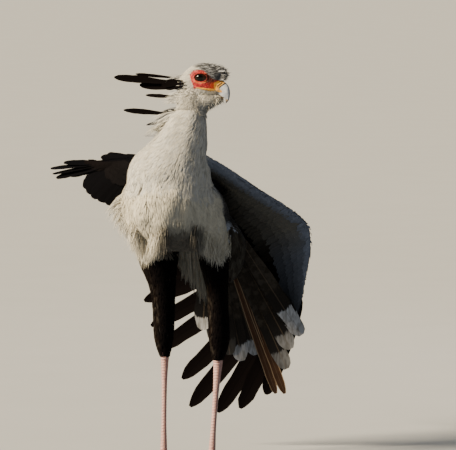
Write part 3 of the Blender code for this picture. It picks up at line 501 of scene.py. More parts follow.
def toe_forms(foot, mirror):
    """Padded toes that lie on the floor, and the hub they leave."""
    forms = []
    for turn, length, half in TOES:
        angle = BODY_TURN - math.radians(turn * mirror)
        ahead = np.array((-math.sin(angle), -math.cos(angle), 0))
        side = np.array((ahead[1], -ahead[0], 0))
        pads = ((0.0, 1.15), (0.22, 1.05), (0.42, 0.86), (0.55, 0.98), (0.74, 0.80), (0.88, 0.88), (1.0, 0.55))
        rings = []
        for share, broad in smooth_rows(pads, 3):
            size = half * broad
            centre = np.array(foot) + ahead * (length * share) + UP * size * 0.93
            rings.append(ring(centre, side, UP, size, size, size, 24))
        forms.append(np.array(rings))
    angle = np.linspace(-math.pi / 2 + 0.05, math.pi / 2 - 0.05, 14)
    hub = np.array(foot) + np.array((0, 0.002, 0.014))
    side, ahead = np.array((1.0, 0, 0)), np.array((0, 1.0, 0))
    wide, deep, tall = HUB_RADII
    rows = [(hub + UP * tall * math.sin(a), math.cos(a)) for a in angle]
    forms.append(np.array([ring(c, side, ahead, wide * s, deep * s, deep * s, 24) for c, s in rows]))
    return forms


def object_from(name, points, faces):
    """A mesh object from places in the bird's frame."""
    mesh = bpy.data.meshes.new(name)
    mesh.from_pydata([tuple(p) for p in np.asarray(points) + SHIFT], [], faces)
    made = bpy.data.objects.new(name, mesh)
    bpy.context.scene.collection.objects.link(made)
    return made


def grid_faces(grid, start):
    """Faces of one closed form whose points begin at start, with a fan on each end."""
    rows, count = grid.shape[:2]
    faces = []
    for r in range(rows - 1):
        for k in range(count):
            a, b = start + r * count + k, start + r * count + (k + 1) % count
            faces.append((a, b, b + count, a + count))
    if np.linalg.norm(grid[0] - grid[-1], axis=1).max() < 1.5 * np.linalg.norm(grid[0] - grid[1], axis=1).max():
        last = (rows - 1) * count
        for k in range(count):
            faces.append((start + last + k, start + last + (k + 1) % count, start + (k + 1) % count, start + k))
    else:
        faces.append(tuple(range(start, start + count))[::-1])
        faces.append(tuple(range(start + (rows - 1) * count, start + rows * count)))
    round_it = np.roll(grid, -1, axis=1)[:-1] - grid[:-1]
    outward = np.sum(np.cross(round_it, grid[1:] - grid[:-1]) * (grid[:-1] - grid[:-1].mean(1, keepdims=True)))
    return faces if outward > 0 else [face[::-1] for face in faces]


def face_outwards(made):
    work = bmesh.new()
    work.from_mesh(made.data)
    bmesh.ops.recalc_face_normals(work, faces=work.faces)
    if work.calc_volume(signed=True) < 0:
        bmesh.ops.reverse_faces(work, faces=work.faces)
    work.to_mesh(made.data)
    work.free()


def closed_object(name, grids):
    points, faces = [], []
    for grid in grids:
        faces += grid_faces(grid, len(points))
        points += list(grid.reshape(-1, 3))
    made = object_from(name, points, faces)
    face_outwards(made)
    return made


def applied(made):
    """Turns the object's modifiers into its mesh."""
    graph = bpy.context.evaluated_depsgraph_get()
    mesh = bpy.data.meshes.new_from_object(made.evaluated_get(graph))
    made.modifiers.clear()
    old, made.data = made.data, mesh
    mesh.name = made.name
    bpy.data.meshes.remove(old)
    return made


def merged(name, grids, voxel):
    """One closed surface round several forms that run into each other."""
    made = closed_object(name, grids)
    step = made.modifiers.new("Remesh", "REMESH")
    step.mode, step.voxel_size = "VOXEL", voxel
    return applied(made)


def joined(made, others):
    """The union of closed meshes."""
    for one in others:
        step = made.modifiers.new("Join", "BOOLEAN")
        step.operation, step.object, step.solver = "UNION", one, "MANIFOLD"
        applied(made)
        bpy.data.objects.remove(one)
    return made


# Outline of the bare skin round the eye and of the yellow gape: ahead of the head's centre, and above it
BARE_SKIN = (
    (-0.0262, 0.0057), (-0.0155, 0.0180), (0.0037, 0.0215), (0.0229, 0.0190), (0.0343, 0.0132),
    (0.0437, 0.0035), (0.0519, -0.0060), (0.0613, -0.0105), (0.0720, -0.0120), (0.0720, -0.0430),
    (0.0420, -0.0440), (0.0182, -0.0385), (0.0006, -0.0352), (-0.0124, -0.0375), (-0.0130, -0.0260),
    (-0.0206, -0.0096),
)
GAPE = ((-0.0040, -0.0320), (0.0160, -0.0330), (0.0420, -0.0360), (0.0720, -0.0380), (0.0720, -0.0470),
        (0.0420, -0.0450), (0.0182, -0.0400), (-0.0010, -0.0365))
MOUTH = ((-0.006, -0.0350), (0.013, -0.0388), (0.036, -0.0425), (0.064, -0.0455))
CERE = ((0.0500, -0.0190), (0.0600, -0.0130), (0.0790, -0.0130), (0.0790, -0.0170), (0.0640, -0.0310),
        (0.0610, -0.0400), (0.0490, -0.0400))
SLITS = (((0.0590, -0.0279), (0.0700, -0.0189)), ((0.0612, -0.0342), (0.0829, -0.0171)))
# The eye seen between the lids: how far its middle lies below the ball's, and the ball that fills it
EYE_DROP = 0.0025
BALL = (0.0250, 0.0152, 0.0152)
LID_OPEN = (0.0204, 0.0128)
LID_TUBE = 0.0017


def face_places(points):
    """How far ahead of the head's centre, out to the side and above it some points of the face are."""
    away = points - head_point(0, 0, 0)
    return away @ AHEAD, away @ RIGHT, away[:, 2]


def inside_outline(outline, a, c):
    """Distance inside a closed outline of the face, negative outside it."""
    corners = np.array(outline)
    nearest, crossings = np.full(len(a), 1.0), np.zeros(len(a), int)
    for (x0, y0), (x1, y1) in zip(corners, np.roll(corners, -1, axis=0)):
        dx, dy = x1 - x0, y1 - y0
        share = np.clip(((a - x0) * dx + (c - y0) * dy) / (dx * dx + dy * dy), 0, 1)
        nearest = np.minimum(nearest, np.hypot(a - x0 - share * dx, c - y0 - share * dy))
        crossings += ((y0 > c) != (y1 > c)) & (a < x0 + (c - y0) * dx / (dy if dy else 1e-9))
    return np.where(crossings % 2 == 1, nearest, -nearest)


def near_line(line, a, c):
    """Distance from an open line of the face."""
    nearest = np.full(len(a), 1.0)
    for (x0, y0), (x1, y1) in zip(line[:-1], line[1:]):
        dx, dy = x1 - x0, y1 - y0
        share = np.clip(((a - x0) * dx + (c - y0) * dy) / (dx * dx + dy * dy), 0, 1)
        nearest = np.minimum(nearest, np.hypot(a - x0 - share * dx, c - y0 - share * dy))
    return nearest


def step(value, low, high):
    share = np.clip((value - low) / (high - low), 0, 1)
    return share * share * (3 - 2 * share)


def bare(points):
    """How bare the skin of the head is: 1 round the eye and along the bill, 0 under feathers."""
    a, s, c = face_places(points)
    wavy = 0.0008 * np.sin(a * 900 + 2 * np.sin(c * 500)) + 0.0006 * np.sin(c * 1300 + a * 400)
    return step(inside_outline(BARE_SKIN, a, c) + wavy, -0.0006, 0.0010) * (np.abs(s) > 0.004)


def lid_form(hand):
    """The rim of one eye's lids as a closed tube, given as a grid whose rings run round it."""
    turn = np.linspace(0, 2 * np.pi, 64, endpoint=False)
    rings = []
    for angle in turn:
        reach = AHEAD * (LID_OPEN[0] * math.cos(angle)) + UP * (LID_OPEN[1] * math.sin(angle))
        centre = head_point(EYE_AHEAD, hand * (LID_OUT + 0.0006), -EYE_DROP) + reach
        rings.append(ring(centre, unit(reach), RIGHT * hand, LID_TUBE, LID_TUBE, LID_TUBE, 12))
    return np.array(rings)


def round_eye(a, c):
    """Places round the eye: 1 on the rim of the lids and growing outwards, and the angle from straight ahead."""
    across, high = (a - EYE_AHEAD) / LID_OPEN[0], (c + EYE_DROP) / LID_OPEN[1]
    return np.hypot(across, high), np.arctan2(high, across)


def sculpt_face(made):
    """Folds, creases and the line of the mouth on the bare skin, and the feathered parts drawn in."""
    mesh = made.data
    count = len(mesh.vertices)
    co, no = np.empty(count * 3), np.empty(count * 3)
    mesh.vertices.foreach_get("co", co)
    mesh.vertex_normals.foreach_get("vector", no)
    co, no = co.reshape(-1, 3), no.reshape(-1, 3)
    a, s, c = face_places(co - SHIFT)
    skin_share = bare(co - SHIFT)
    reach, angle = round_eye(a, c)
    side = (np.abs(s) > 0.010)
    folds = 0.0007 * np.exp(-(((reach - 1.42 - 0.05 * np.sin(3 * angle)) / 0.10) ** 2))
    folds += 0.0005 * np.exp(-(((reach - 1.75 + 0.06 * np.sin(2 * angle + 1)) / 0.09) ** 2))
    folds -= 0.0006 * np.exp(-(((reach - 1.24) / 0.07) ** 2))
    folds += 0.0004 * np.sin(angle * 17 + 3 * np.sin(reach * 9)) * step(reach, 1.15, 1.4) * step(2.6 - reach, 0, 0.6)
    folds += 0.0005 * np.sin(a * 1500 + 2 * np.sin(c * 900)) * np.sin(c * 1700 + 2 * np.sin(a * 700)) * step(reach, 1.5, 1.8)
    groove = -0.0010 * np.exp(-((near_line(MOUTH, a, c) / 0.0008) ** 2))
    flange = 0.0009 * step(inside_outline(GAPE, a, c), -0.0008, 0.0012)
    move = (folds + groove + flange) * skin_share * side - FACE_DEPTH * (1 - skin_share)
    co += no * move[:, None]
    mesh.vertices.foreach_set("co", co.ravel())
    mesh.update()


def eye_form(hand, grow, count=48):
    """An eyeball as a grid of rings from its back to its front."""
    angles = np.linspace(0.04, np.pi - 0.04, count // 2)
    centre = head_point(EYE_AHEAD, hand * EYE_OUT, -EYE_DROP)
    wide, deep, tall = (r + grow for r in BALL)
    rings = []
    for angle in angles:
        size = math.sin(angle)
        rings.append(ring(centre - RIGHT * hand * deep * math.cos(angle), AHEAD, UP, wide * size, tall * size, tall * size, count))
    return np.array(rings)


def lid_gap(hand):
    """The opening between the lids as a short column that cuts the skin away in front of the eyeball."""
    depths = np.linspace(EYE_OUT - 0.001, EYE_OUT + 0.026, 8)
    wide, tall = LID_OPEN[0] - 0.6 * LID_TUBE, LID_OPEN[1] - 0.6 * LID_TUBE
    return np.array([ring(head_point(EYE_AHEAD, hand * d, -EYE_DROP), AHEAD, UP, wide, tall, tall, 64) for d in depths])


def cut(made, tools):
    for tool in tools:
        step_ = made.modifiers.new("Cut", "BOOLEAN")
        step_.operation, step_.object, step_.solver = "DIFFERENCE", tool, "MANIFOLD"
        applied(made)
        bpy.data.objects.remove(tool)
    return made


LOOK_OUT = Vector((0.31, -0.83, 0.46)).normalized()


def tree_of(grids):
    """A search tree over forms, in the bird's frame."""
    points, faces = [], []
    for grid in grids:
        faces += grid_faces(grid, len(points))
        points += [tuple(p) for p in grid.reshape(-1, 3)]
    return BVHTree.FromPolygons(points, faces)


def within(point, tree):
    """Whether a point lies inside a closed form: a ray from it meets the form an odd number of times."""
    hits, start = 0, point
    while hits < 12:
        place, _, _, _ = tree.ray_cast(start, LOOK_OUT)
        if place is None:
            break
        hits, start = hits + 1, place + LOOK_OUT * 1e-5
    return hits % 2 == 1


def outside(points, trees, slack=0.0015):
    """Which points lie inside none of the forms, or no deeper than the slack."""
    keep = np.ones(len(points), bool)
    for tree in trees:
        for i in np.flatnonzero(keep):
            point = Vector(points[i])
            if within(point, tree) and tree.find_nearest(point)[3] > slack:
                keep[i] = False
    return keep


def scatter(grid, count, rng):
    """Roots spread evenly over a form: place, outward direction, direction along it, and its unwrap."""
    far = np.roll(grid, -1, axis=1)
    a, b, c, d = grid[:-1], far[:-1], far[1:], grid[1:]
    area = np.linalg.norm(np.cross(b - a, d - a), axis=-1).ravel()
    pick = rng.choice(area.size, count, p=area / area.sum())
    a, b, c, d = (corner.reshape(-1, 3)[pick] for corner in (a, b, c, d))
    u, v = rng.random((2, count, 1))
    place = a * (1 - u) * (1 - v) + b * u * (1 - v) + c * u * v + d * (1 - u) * v
    along = unit((d - a) * (1 - u) + (c - b) * u)
    normal = unit(np.cross((b - a) * (1 - v) + (c - d) * v, along))
    row, column = np.divmod(pick, grid.shape[1])
    middle = grid.mean(1)[row]
    normal *= np.sign(np.sum(normal * (place - middle), -1, keepdims=True))
    unwrap = np.column_stack([(column + u[:, 0]) / grid.shape[1], (row + v[:, 0]) / (len(grid) - 1)])
    return place, normal, along, unwrap


def flat(direction, normal):
    """The part of a direction that lies in the surface."""
    return unit(direction - np.sum(direction * normal, -1, keepdims=True) * normal)


def lay(tree, roots, normals, aims, lengths, shares, heights):
    """Centre lines that follow the body from root to tip, each station at its height over the skin."""
    places, facing = np.array(roots), np.array(normals)
    lines, ups = [places + facing * heights[0]], [facing]
    for k in range(1, len(shares)):
        step = (lengths * (shares[k] - shares[k - 1]))[:, None]
        ahead = places + aims * step + facing * 0.010
        found, turned = np.empty_like(places), np.empty_like(places)
        for i, point in enumerate(ahead):
            place, normal, _, _ = tree.find_nearest(point)
            found[i], turned[i] = place, normal
        facing = unit(0.5 * facing + 0.5 * turned)
        aims = flat(aims, facing)
        places = found
        lines.append(places + facing * heights[k])
        ups.append(facing)
    return np.stack(lines, 1), np.stack(ups, 1)


def blade_rings(lines, ups, widths, outline, thick, cup):
    """Three-sided sections along each centre line: two thin edges and the shaft's ridge."""
    tangent = unit(np.gradient(lines, axis=1))
    side = unit(np.cross(tangent, ups))
    half = (widths[:, None] * np.array([broad for _, broad in outline]) / 2)[..., None]
    left = lines - side * half - ups * half * cup
    right = lines + side * half - ups * half * cup
    return np.stack([left, lines + ups * thick, right], 2)


def blade_mesh(name, rings, unwraps, shares, values):
    """One mesh of many closed blades, with the maps and the values that their finish reads."""
    count, stations, sides = rings.shape[:3]
    quads, caps = [], []
    for s in range(stations - 1):
        for k in range(sides):
            a, b = s * sides + k, s * sides + (k + 1) % sides
            quads.append((a, b, b + sides, a + sides))
    caps = [tuple(range(sides))[::-1], tuple((stations - 1) * sides + k for k in range(sides))]
    quads, caps = np.array(quads), np.array(caps)
    start = (np.arange(count) * stations * sides)[:, None, None]
    corners = np.concatenate([(quads + start).reshape(-1), (caps + start).reshape(-1)])
    sizes = np.concatenate([np.full(len(quads) * count, 4), np.full(len(caps) * count, sides)])
    mesh = bpy.data.meshes.new(name)
    mesh.vertices.add(count * stations * sides)
    mesh.vertices.foreach_set("co", (rings.reshape(-1, 3) + SHIFT).ravel())
    mesh.loops.add(len(corners))
    mesh.loops.foreach_set("vertex_index", corners)
    mesh.polygons.add(len(sizes))
    mesh.polygons.foreach_set("loop_start", np.concatenate([[0], np.cumsum(sizes)[:-1]]))
    mesh.polygons.foreach_set("use_smooth", np.ones(len(sizes), bool))
    mesh.update(calc_edges=True)
    mesh.set_sharp_from_angle(angle=math.radians(60))
    across = np.tile(np.linspace(0, 1, sides) if sides == 3 else FLIGHT_ACROSS, (count, stations, 1))
    along = np.broadcast_to(np.array(shares)[None, :, None], across.shape)
    patch = np.stack([across, along], -1)
    put_map(mesh, "OFBake", corners, unwraps[:, None, None, :] + patch * PATCH)
    put_map(mesh, "vane", corners, patch)
    root = np.broadcast_to(rings[:, :1, 1:2] + SHIFT, rings.shape)
    for key, value in values.items():
        mesh.attributes.new(key, "FLOAT", "POINT").data.foreach_set("value", np.repeat(value, stations * sides))
    mesh.attributes.new("root", "FLOAT_VECTOR", "POINT").data.foreach_set("vector", root.ravel())
    made = bpy.data.objects.new(name, mesh)
    bpy.context.scene.collection.objects.link(made)
    return made


def put_map(mesh, name, corners, places):
    layer = mesh.uv_layers.new(name=name)
    layer.data.foreach_set("uv", np.clip(places.reshape(-1, 2), 0.0, 1.0)[corners].ravel())


FLIGHT_ACROSS = np.array((0.0, 0.3, 0.5, 0.7, 1.0, 0.7, 0.5, 0.3))
PATCH = 0.003
STATIONS = np.array((0.0, 0.04, 0.1, 0.18, 0.27, 0.36, 0.46, 0.56, 0.66, 0.75, 0.83, 0.89, 0.94, 0.975, 1.0))


def quill(root, tip, normal, width, outline, rng, bend=0.0, tilt=0.0, lean=0.0, camber=0.12, thick=0.0011):
    """Sections of one long feather: shaft, a narrow and a broad vane, and worn edges."""
    root, tip = np.asarray(root, float), np.asarray(tip, float)
    along = unit(tip - root)
    side = unit(np.cross(normal, along))
    side = side * math.cos(tilt) + np.cross(along, side) * math.sin(tilt)
    out = np.cross(along, side)
    share = STATIONS[:, None]
    shaft = root + (tip - root) * share + out * (bend * np.sin(np.pi * share))
    broad = np.interp(STATIONS, *zip(*outline)) * width / 2
    worn = 1 + 0.05 * rng.standard_normal((2, len(STATIONS))) * (STATIONS > 0.2)
    left, right = broad * (1 + lean) * worn[0], broad * (1 - lean) * worn[1]
    rings = []
    for places, drop, lift in (
        (-left, camber, 0.0), (-0.45 * left, camber * 0.2, 0.35), (0 * left, 0.0, 1.0),
        (0.45 * right, camber * 0.2, 0.35), (right, camber, 0.0), (0.45 * right, camber * 0.2, -0.25),
        (0 * left, 0.0, -0.7), (-0.45 * left, camber * 0.2, -0.25),
    ):
        height = thick * lift * np.interp(STATIONS, (0, 0.9, 1), (1, 0.6, 0.3)) - drop * broad
        rings.append(shaft + side * places[:, None] + out * height[:, None])
    return np.stack(rings, 1)


def quill_mesh(name, feathers, rng, **values):
    """A mesh of long feathers, each with its own strip of the map."""
    rings = np.stack(feathers)
    count = len(rings)
    values = {key: np.broadcast_to(value, count) for key, value in values.items()}
    made = blade_mesh(name, rings, np.zeros((count, 2)), STATIONS, {"tone": rng.random(count), **values})
    layer = made.data.uv_layers["OFBake"]
    corners = np.zeros(len(made.data.loops), int)
    made.data.loops.foreach_get("vertex_index", corners)
    across = np.broadcast_to(np.array((0.02, 0.15, 0.25, 0.35, 0.48, 0.65, 0.75, 0.85)), rings.shape[:3])
    strip = (np.arange(count)[:, None, None] + 0.02 + 0.96 * across) / count
    along = np.broadcast_to(0.01 + 0.98 * STATIONS[None, :, None], rings.shape[:3])
    layer.data.foreach_set("uv", np.stack([strip, along], -1).reshape(-1, 2)[corners].ravel())
    return made


def wing_plan(stations, wrist, hand, spans, arm_tips, hand_tips):
    """For each flight feather from the body outwards: root, upper direction, tip, front edge, back, chord, thickness."""
    frames = wing_frames(stations, 4, hand)
    arm, rest = frames[: wrist * 4 + 1], frames[wrist * 4 :]
    found = []
    for part, tips, (span, chords) in ((arm, arm_tips, spans[0]), (rest, hand_tips, spans[1])):
        for k, tip in enumerate(tips):
            share = k / (len(tips) - 1)
            place = (span[0] + (span[1] - span[0]) * share) * (len(part) - 1)
            low = min(int(place), len(part) - 2)
            edge, back, up, chord, thick = (a + (b - a) * (place - low) for a, b in zip(part[low], part[low + 1]))
            root = edge + back * chord * (chords[0] + (chords[1] - chords[0]) * share)
            found.append(np.concatenate([root, unit(up), tip, edge, unit(back), (chord, thick)]))
    return np.array(found)


def plan_at(plan, places):
    """The wing's plan between two of its flight feathers, places being shares from the body outwards."""
    exact = np.clip(places, 0, 1) * (len(plan) - 1)
    low = np.minimum(exact.astype(int), len(plan) - 2)
    mix = (exact - low)[:, None]
    rows = plan[low] * (1 - mix) + plan[low + 1] * mix
    return rows[:, :3], unit(rows[:, 3:6]), rows[:, 6:9], rows[:, 9:12], unit(rows[:, 12:15]), rows[:, 15], rows[:, 16]


def covert_tier(plan, face, span, chord_share, count, length, width, lift, dark, warm, rng):
    """One row of coverts along a wing: their blades, unwrap and colour values."""
    places = np.linspace(*span, count) + rng.normal(0, 0.15 / count, count)
    root, up, tip, edge, back, chord, thick = plan_at(plan, places)
    shares = chord_share + rng.normal(0, 0.012, count)
    profile = np.interp(shares, (0, 0.02, 0.06, 0.15, 0.25, 0.6, 1.0), (0, 0.18, 0.32, 0.46, 0.5, 0.3, 0.07))
    start = edge + back * (chord * shares)[:, None]
    start = start + up * (face * thick * profile * (1.0 if face > 0 else 0.8))[:, None]
    aims = unit(tip - start)
    shares = np.array([s for s, _ in ROUND_TUFT])
    steps = shares[None, :, None] * (length * rng.uniform(0.9, 1.1, count))[:, None, None]
    heights = face * (lift[0] + (lift[1] - lift[0]) * shares)[None, :, None]
    lines = start[:, None] + aims[:, None] * steps + up[:, None] * heights
    ups = np.broadcast_to((up * face)[:, None], lines.shape)
    rings = blade_rings(lines, ups, width * rng.uniform(0.9, 1.1, count), ROUND_TUFT, 0.0005, 0.06)
    unwrap = np.column_stack([np.full(count, 0.5 + 0.4 * face * chord_share), places])
    return rings, unwrap, np.interp(places, *dark), np.interp(places, *warm)


def wing_coat(name, plan, tiers, rng):
    """The rows of coverts of one wing's face as one piece."""
    rings, unwraps, dark, warm = zip(*(covert_tier(plan, *tier, rng) for tier in tiers))
    rings, unwraps, dark, warm = (np.concatenate(part) for part in (rings, unwraps, dark, warm))
    values = {"tone": rng.random(len(rings)), "dark": dark, "warm": warm}
    remember(rings[:, 0, 1], dark, warm, unwraps)
    return blade_mesh(name, rings, unwraps * 0.99, [s for s, _ in ROUND_TUFT], values)


ROOTS_SEEN = []
LOCK_SCALE = np.array((130.0, 130.0, 45.0))


def remember(places, dark, warm, unwraps):
    """Keeps the colour values of feather roots, so that the skin under them carries the same markings and the same
    painted shade.
    """
    ROOTS_SEEN.append(np.column_stack([places, dark, warm, unwraps]))


def nearest_roots(places):
    """The remembered values of the root nearest to each place."""
    seen = np.concatenate(ROOTS_SEEN)
    roots = KDTree(len(seen))
    for i, row in enumerate(seen):
        roots.insert(row[:3], i)
    roots.balance()
    return seen[[roots.find(place)[1] for place in places]]


def swirl(places):
    """A slow, fixed turning of the feathers' direction over the body, which parts them into locks."""
    waves = ((61, 0.3, 17), (-23, 83, 0.9), (37, -11, 71))
    parts = [np.sin(places @ np.array(wave) + 1.7 * k) for k, wave in enumerate(waves)]
    fine = [np.sin(places @ (2.9 * np.array(wave[::-1])) + 0.6 * k) for k, wave in enumerate(waves)]
    return np.stack(parts, -1) + 0.5 * np.stack(fine, -1)


def streaks(place, scale):
    """A fixed pattern between -1 and 1 that is drawn out along the axis whose scale is small."""
    total = np.zeros(len(place))
    for k in range(5):
        wave = np.array((math.sin(2.1 * k + 1), math.cos(3.7 * k), math.sin(5.3 * k + 2))) * scale
        bend = np.array((math.cos(1.3 * k), math.sin(2.9 * k + 1), math.cos(4.1 * k + 2))) * 30
        total += np.sin(place @ wave + 1.4 * np.sin(place @ bend) + k)
    return np.clip(total / 2.6, -1, 1)


def fluff(name, form, others, tree, count, size, outline, heights, aim, mark, rng, spread=0.10, want=None,
          cup=0.06, layers=0.0025, locks=0.16, lumps=0.0):
    """Feathers strewn over one form where no other form covers it, lying along a given field."""
    place, normal, along, unwrap = scatter(form, count, rng)
    keep = outside(place, others)
    if want is not None:
        keep &= want(place, normal)
    place, normal, along, unwrap = place[keep], normal[keep], along[keep], unwrap[keep]
    total = len(place)
    aims = unit(aim(place, normal, along)) + rng.normal(0, spread, (total, 3)) + locks * swirl(place)
    aims = flat(aims, normal)
    lengths = size[0] * rng.uniform(0.75, 1.2, total)
    widths = size[1] * rng.uniform(0.8, 1.2, total)
    shares = [s for s, _ in outline]
    lines, ups = lay(tree, place, normal, aims, lengths, shares, heights)
    lift = (rng.random(total) * layers)[:, None, None] * (np.array(shares) > 0)[None, :, None]
    if lumps:
        lift = lift + (lumps * streaks(lines.reshape(-1, 3), LOCK_SCALE)).reshape(*lines.shape[:2], 1)
    rings = blade_rings(lines + ups * lift, ups, widths, outline, size[1] * 0.035, cup)
    dark, warm = mark(place, normal, rng)
    remember(place, dark, warm, unwrap)
    values = {"tone": rng.random(total), "dark": dark, "warm": warm}
    return blade_mesh(name, rings, unwrap * 0.996, shares, values)


def put(tree, kind, settings=None, **inputs):
    """A new node with its settings, its inputs set or linked by name, or by number as _0, _1 and so on."""
    node = tree.nodes.new(kind)
    for key, value in (settings or {}).items():
        setattr(node, key, value)
    for key, value in inputs.items():
        socket = node.inputs[int(key[1:])] if key[0] == "_" else node.inputs[key.replace("_", " ")]
        if isinstance(value, bpy.types.NodeSocket):
            tree.links.new(value, socket)
        else:
            socket.default_value = value
    return node


def sums(tree, operation, first, second=0.0, third=0.0):
    return put(tree, "ShaderNodeMath", {"operation": operation}, _0=first, _1=second, _2=third).outputs[0]


def mixed(tree, share, first, second, blend="MIX"):
    """A mix of two colours or of a colour and a socket."""
    node = put(tree, "ShaderNodeMix", {"data_type": "RGBA", "blend_type": blend}, _0=share, _6=first, _7=second)
    return node.outputs[2]


def between(tree, value, low, high):
    """0 below low, 1 above high, smooth in between."""
    node = put(tree, "ShaderNodeMapRange", {"interpolation_type": "SMOOTHSTEP"}, Value=value, From_Min=low, From_Max=high)
    return node.outputs[0]


def value_of(tree, name):
    return put(tree, "ShaderNodeAttribute", {"attribute_name": name}).outputs["Fac"]


def noise(tree, where, scale, detail=2.0):
    return put(tree, "ShaderNodeTexNoise", None, Vector=where, Scale=scale, Detail=detail).outputs[0]


def new_group(name, outputs, inputs=()):
    tree = bpy.data.node_groups.new(name, "ShaderNodeTree")
    for label, kind in inputs:
        tree.interface.new_socket(label, in_out="INPUT", socket_type=kind)
    for label, kind in outputs:
        tree.interface.new_socket(label, in_out="OUTPUT", socket_type=kind)
    return tree


def close_group(tree, **sockets):
    end = tree.nodes.new("NodeGroupOutput")
    for label, socket in sockets.items():
        tree.links.new(socket, end.inputs[label.replace("_", " ")])


def plumage_colour_group():
    """The colour that a feather's dark and warm values stand for, a little different from feather to feather."""
    tree = new_group("plumage_colour", (("Colour", "NodeSocketColor"), ("Height", "NodeSocketFloat")))
    dark, warm, tone = (value_of(tree, name) for name in ("dark", "warm", "tone"))
    place = put(tree, "ShaderNodeTexCoord").outputs["Object"]
    pale = mixed(tree, warm, (0.58, 0.63, 0.74, 1), (0.84, 0.768, 0.585, 1))
    deep = mixed(tree, warm, (0.0020, 0.0021, 0.0030, 1), (0.0110, 0.0062, 0.0042, 1))
    light = sums(tree, "SUBTRACT", 1.0, dark)
    share = sums(tree, "SUBTRACT", 1.0, sums(tree, "POWER", sums(tree, "MAXIMUM", light, 0.0), 2.2))
    colour = mixed(tree, share, pale, deep)
    grain = noise(tree, place, 90.0)
    level = sums(tree, "ADD", sums(tree, "MULTIPLY", tone, 0.14), sums(tree, "MULTIPLY", grain, 0.20))
    level = sums(tree, "ADD", level, 0.80)
    vane = put(tree, "ShaderNodeUVMap", {"uv_map": "vane"}).outputs[0]
    across = put(tree, "ShaderNodeSeparateXYZ", None, Vector=vane).outputs[0]
    off_shaft = sums(tree, "ABSOLUTE", sums(tree, "SUBTRACT", across, 0.5))
    level = sums(tree, "MULTIPLY_ADD", between(tree, off_shaft, 0.34, 0.50), 0.22, level)
    level = sums(tree, "MULTIPLY_ADD", between(tree, off_shaft, 0.05, 0.01), -0.25, level)
    colour = put(tree, "ShaderNodeVectorMath", {"operation": "SCALE"}, _0=colour, Scale=level).outputs[0]
    barbs = put(tree, "ShaderNodeTexWave", {"wave_type": "BANDS", "bands_direction": "X"}, Vector=vane, Scale=3.0)
    close_group(tree, Colour=colour, Height=barbs.outputs["Fac"])
    return tree


def new_finish(name, roughness, specular=0.5, sheen=0.0):
    """A material, its tree and its shader, with the values that are the same all over."""
    made = bpy.data.materials.new(name)
    made.use_nodes = True
    shader = made.node_tree.nodes["Principled BSDF"]
    shader.inputs["Roughness"].default_value = roughness
    shader.inputs["Specular IOR Level"].default_value = specular
    shader.inputs["Sheen Weight"].default_value = sheen
    return made, made.node_tree, shader


def bumped(tree, shader, height, strength, distance):
    bump = put(tree, "ShaderNodeBump", None, Height=height, Strength=strength, Distance=distance)
    tree.links.new(bump.outputs[0], shader.inputs["Normal"])


def plumage_finish(name, group, roughness=0.85, specular=0.15, sheen=0.0):
    made, tree, shader = new_finish(name, roughness, specular, sheen)
    looks = put(tree, "ShaderNodeGroup", {"node_tree": group})
    tree.links.new(looks.outputs["Colour"], shader.inputs["Base Color"])
    bumped(tree, shader, looks.outputs["Height"], 0.15, 0.0004)
    return made


def tail_finish():
    """Tail feathers: marbled grey base, black band, white tip, and the plain brown middle pair; on some feathers the
    white tip is dulled to grey and black, partly as painted shade.
    """
    made, tree, shader = new_finish("tail_vanes", 0.75, 0.2)
    vane = put(tree, "ShaderNodeSeparateXYZ", None, Vector=put(tree, "ShaderNodeUVMap", {"uv_map": "vane"}).outputs[0])
    across, along = vane.outputs[0], vane.outputs[1]
    place = put(tree, "ShaderNodeTexCoord").outputs["Object"]
    stretched = put(tree, "ShaderNodeMapping", None, Vector=place, Scale=(1.0, 1.0, 0.25)).outputs[0]
    ragged = sums(tree, "MULTIPLY", sums(tree, "SUBTRACT", noise(tree, stretched, 260.0), 0.5), 0.05)
    bowed = sums(tree, "MULTIPLY", sums(tree, "ABSOLUTE", sums(tree, "SUBTRACT", across, 0.5)), 0.03)
    reach = sums(tree, "ADD", sums(tree, "ADD", along, ragged), bowed)
    marble = noise(tree, place, 55.0, 4.0)
    base = mixed(tree, between(tree, marble, 0.42, 0.60), (0.016, 0.013, 0.010, 1), (0.052, 0.044, 0.034, 1))
    band = between(tree, sums(tree, "SUBTRACT", reach, value_of(tree, "band_from")), -0.02, 0.03)
    white = between(tree, sums(tree, "SUBTRACT", reach, value_of(tree, "white_from")), -0.008, 0.012)
    streaky = between(tree, noise(tree, stretched, 130.0), 0.36, 0.60)
    dusky = mixed(tree, streaky, (0.40, 0.39, 0.37, 1), (0.68, 0.68, 0.68, 1))
    # Tips with low values are dulled towards black, partly as painted shade.
    dusky = mixed(tree, value_of(tree, "white_share"), (0.012, 0.011, 0.010, 1), dusky)
    colour = mixed(tree, band, base, (0.005, 0.0045, 0.005, 1))
    colour = mixed(tree, white, colour, dusky)
    edge = between(tree, sums(tree, "ABSOLUTE", sums(tree, "SUBTRACT", across, 0.5)), 0.36, 0.46)
    brown = mixed(tree, marble, (0.030, 0.014, 0.007, 1), (0.100, 0.048, 0.025, 1))
    plain = mixed(tree, edge, brown, (0.46, 0.32, 0.19, 1))
    colour = mixed(tree, value_of(tree, "plain"), colour, plain)
    shaft = between(tree, sums(tree, "ABSOLUTE", sums(tree, "SUBTRACT", across, 0.5)), 0.035, 0.015)
    colour = mixed(tree, sums(tree, "MULTIPLY", shaft, 0.4), colour, (0.20, 0.15, 0.10, 1))
    tree.links.new(colour, shader.inputs["Base Color"])
    return made


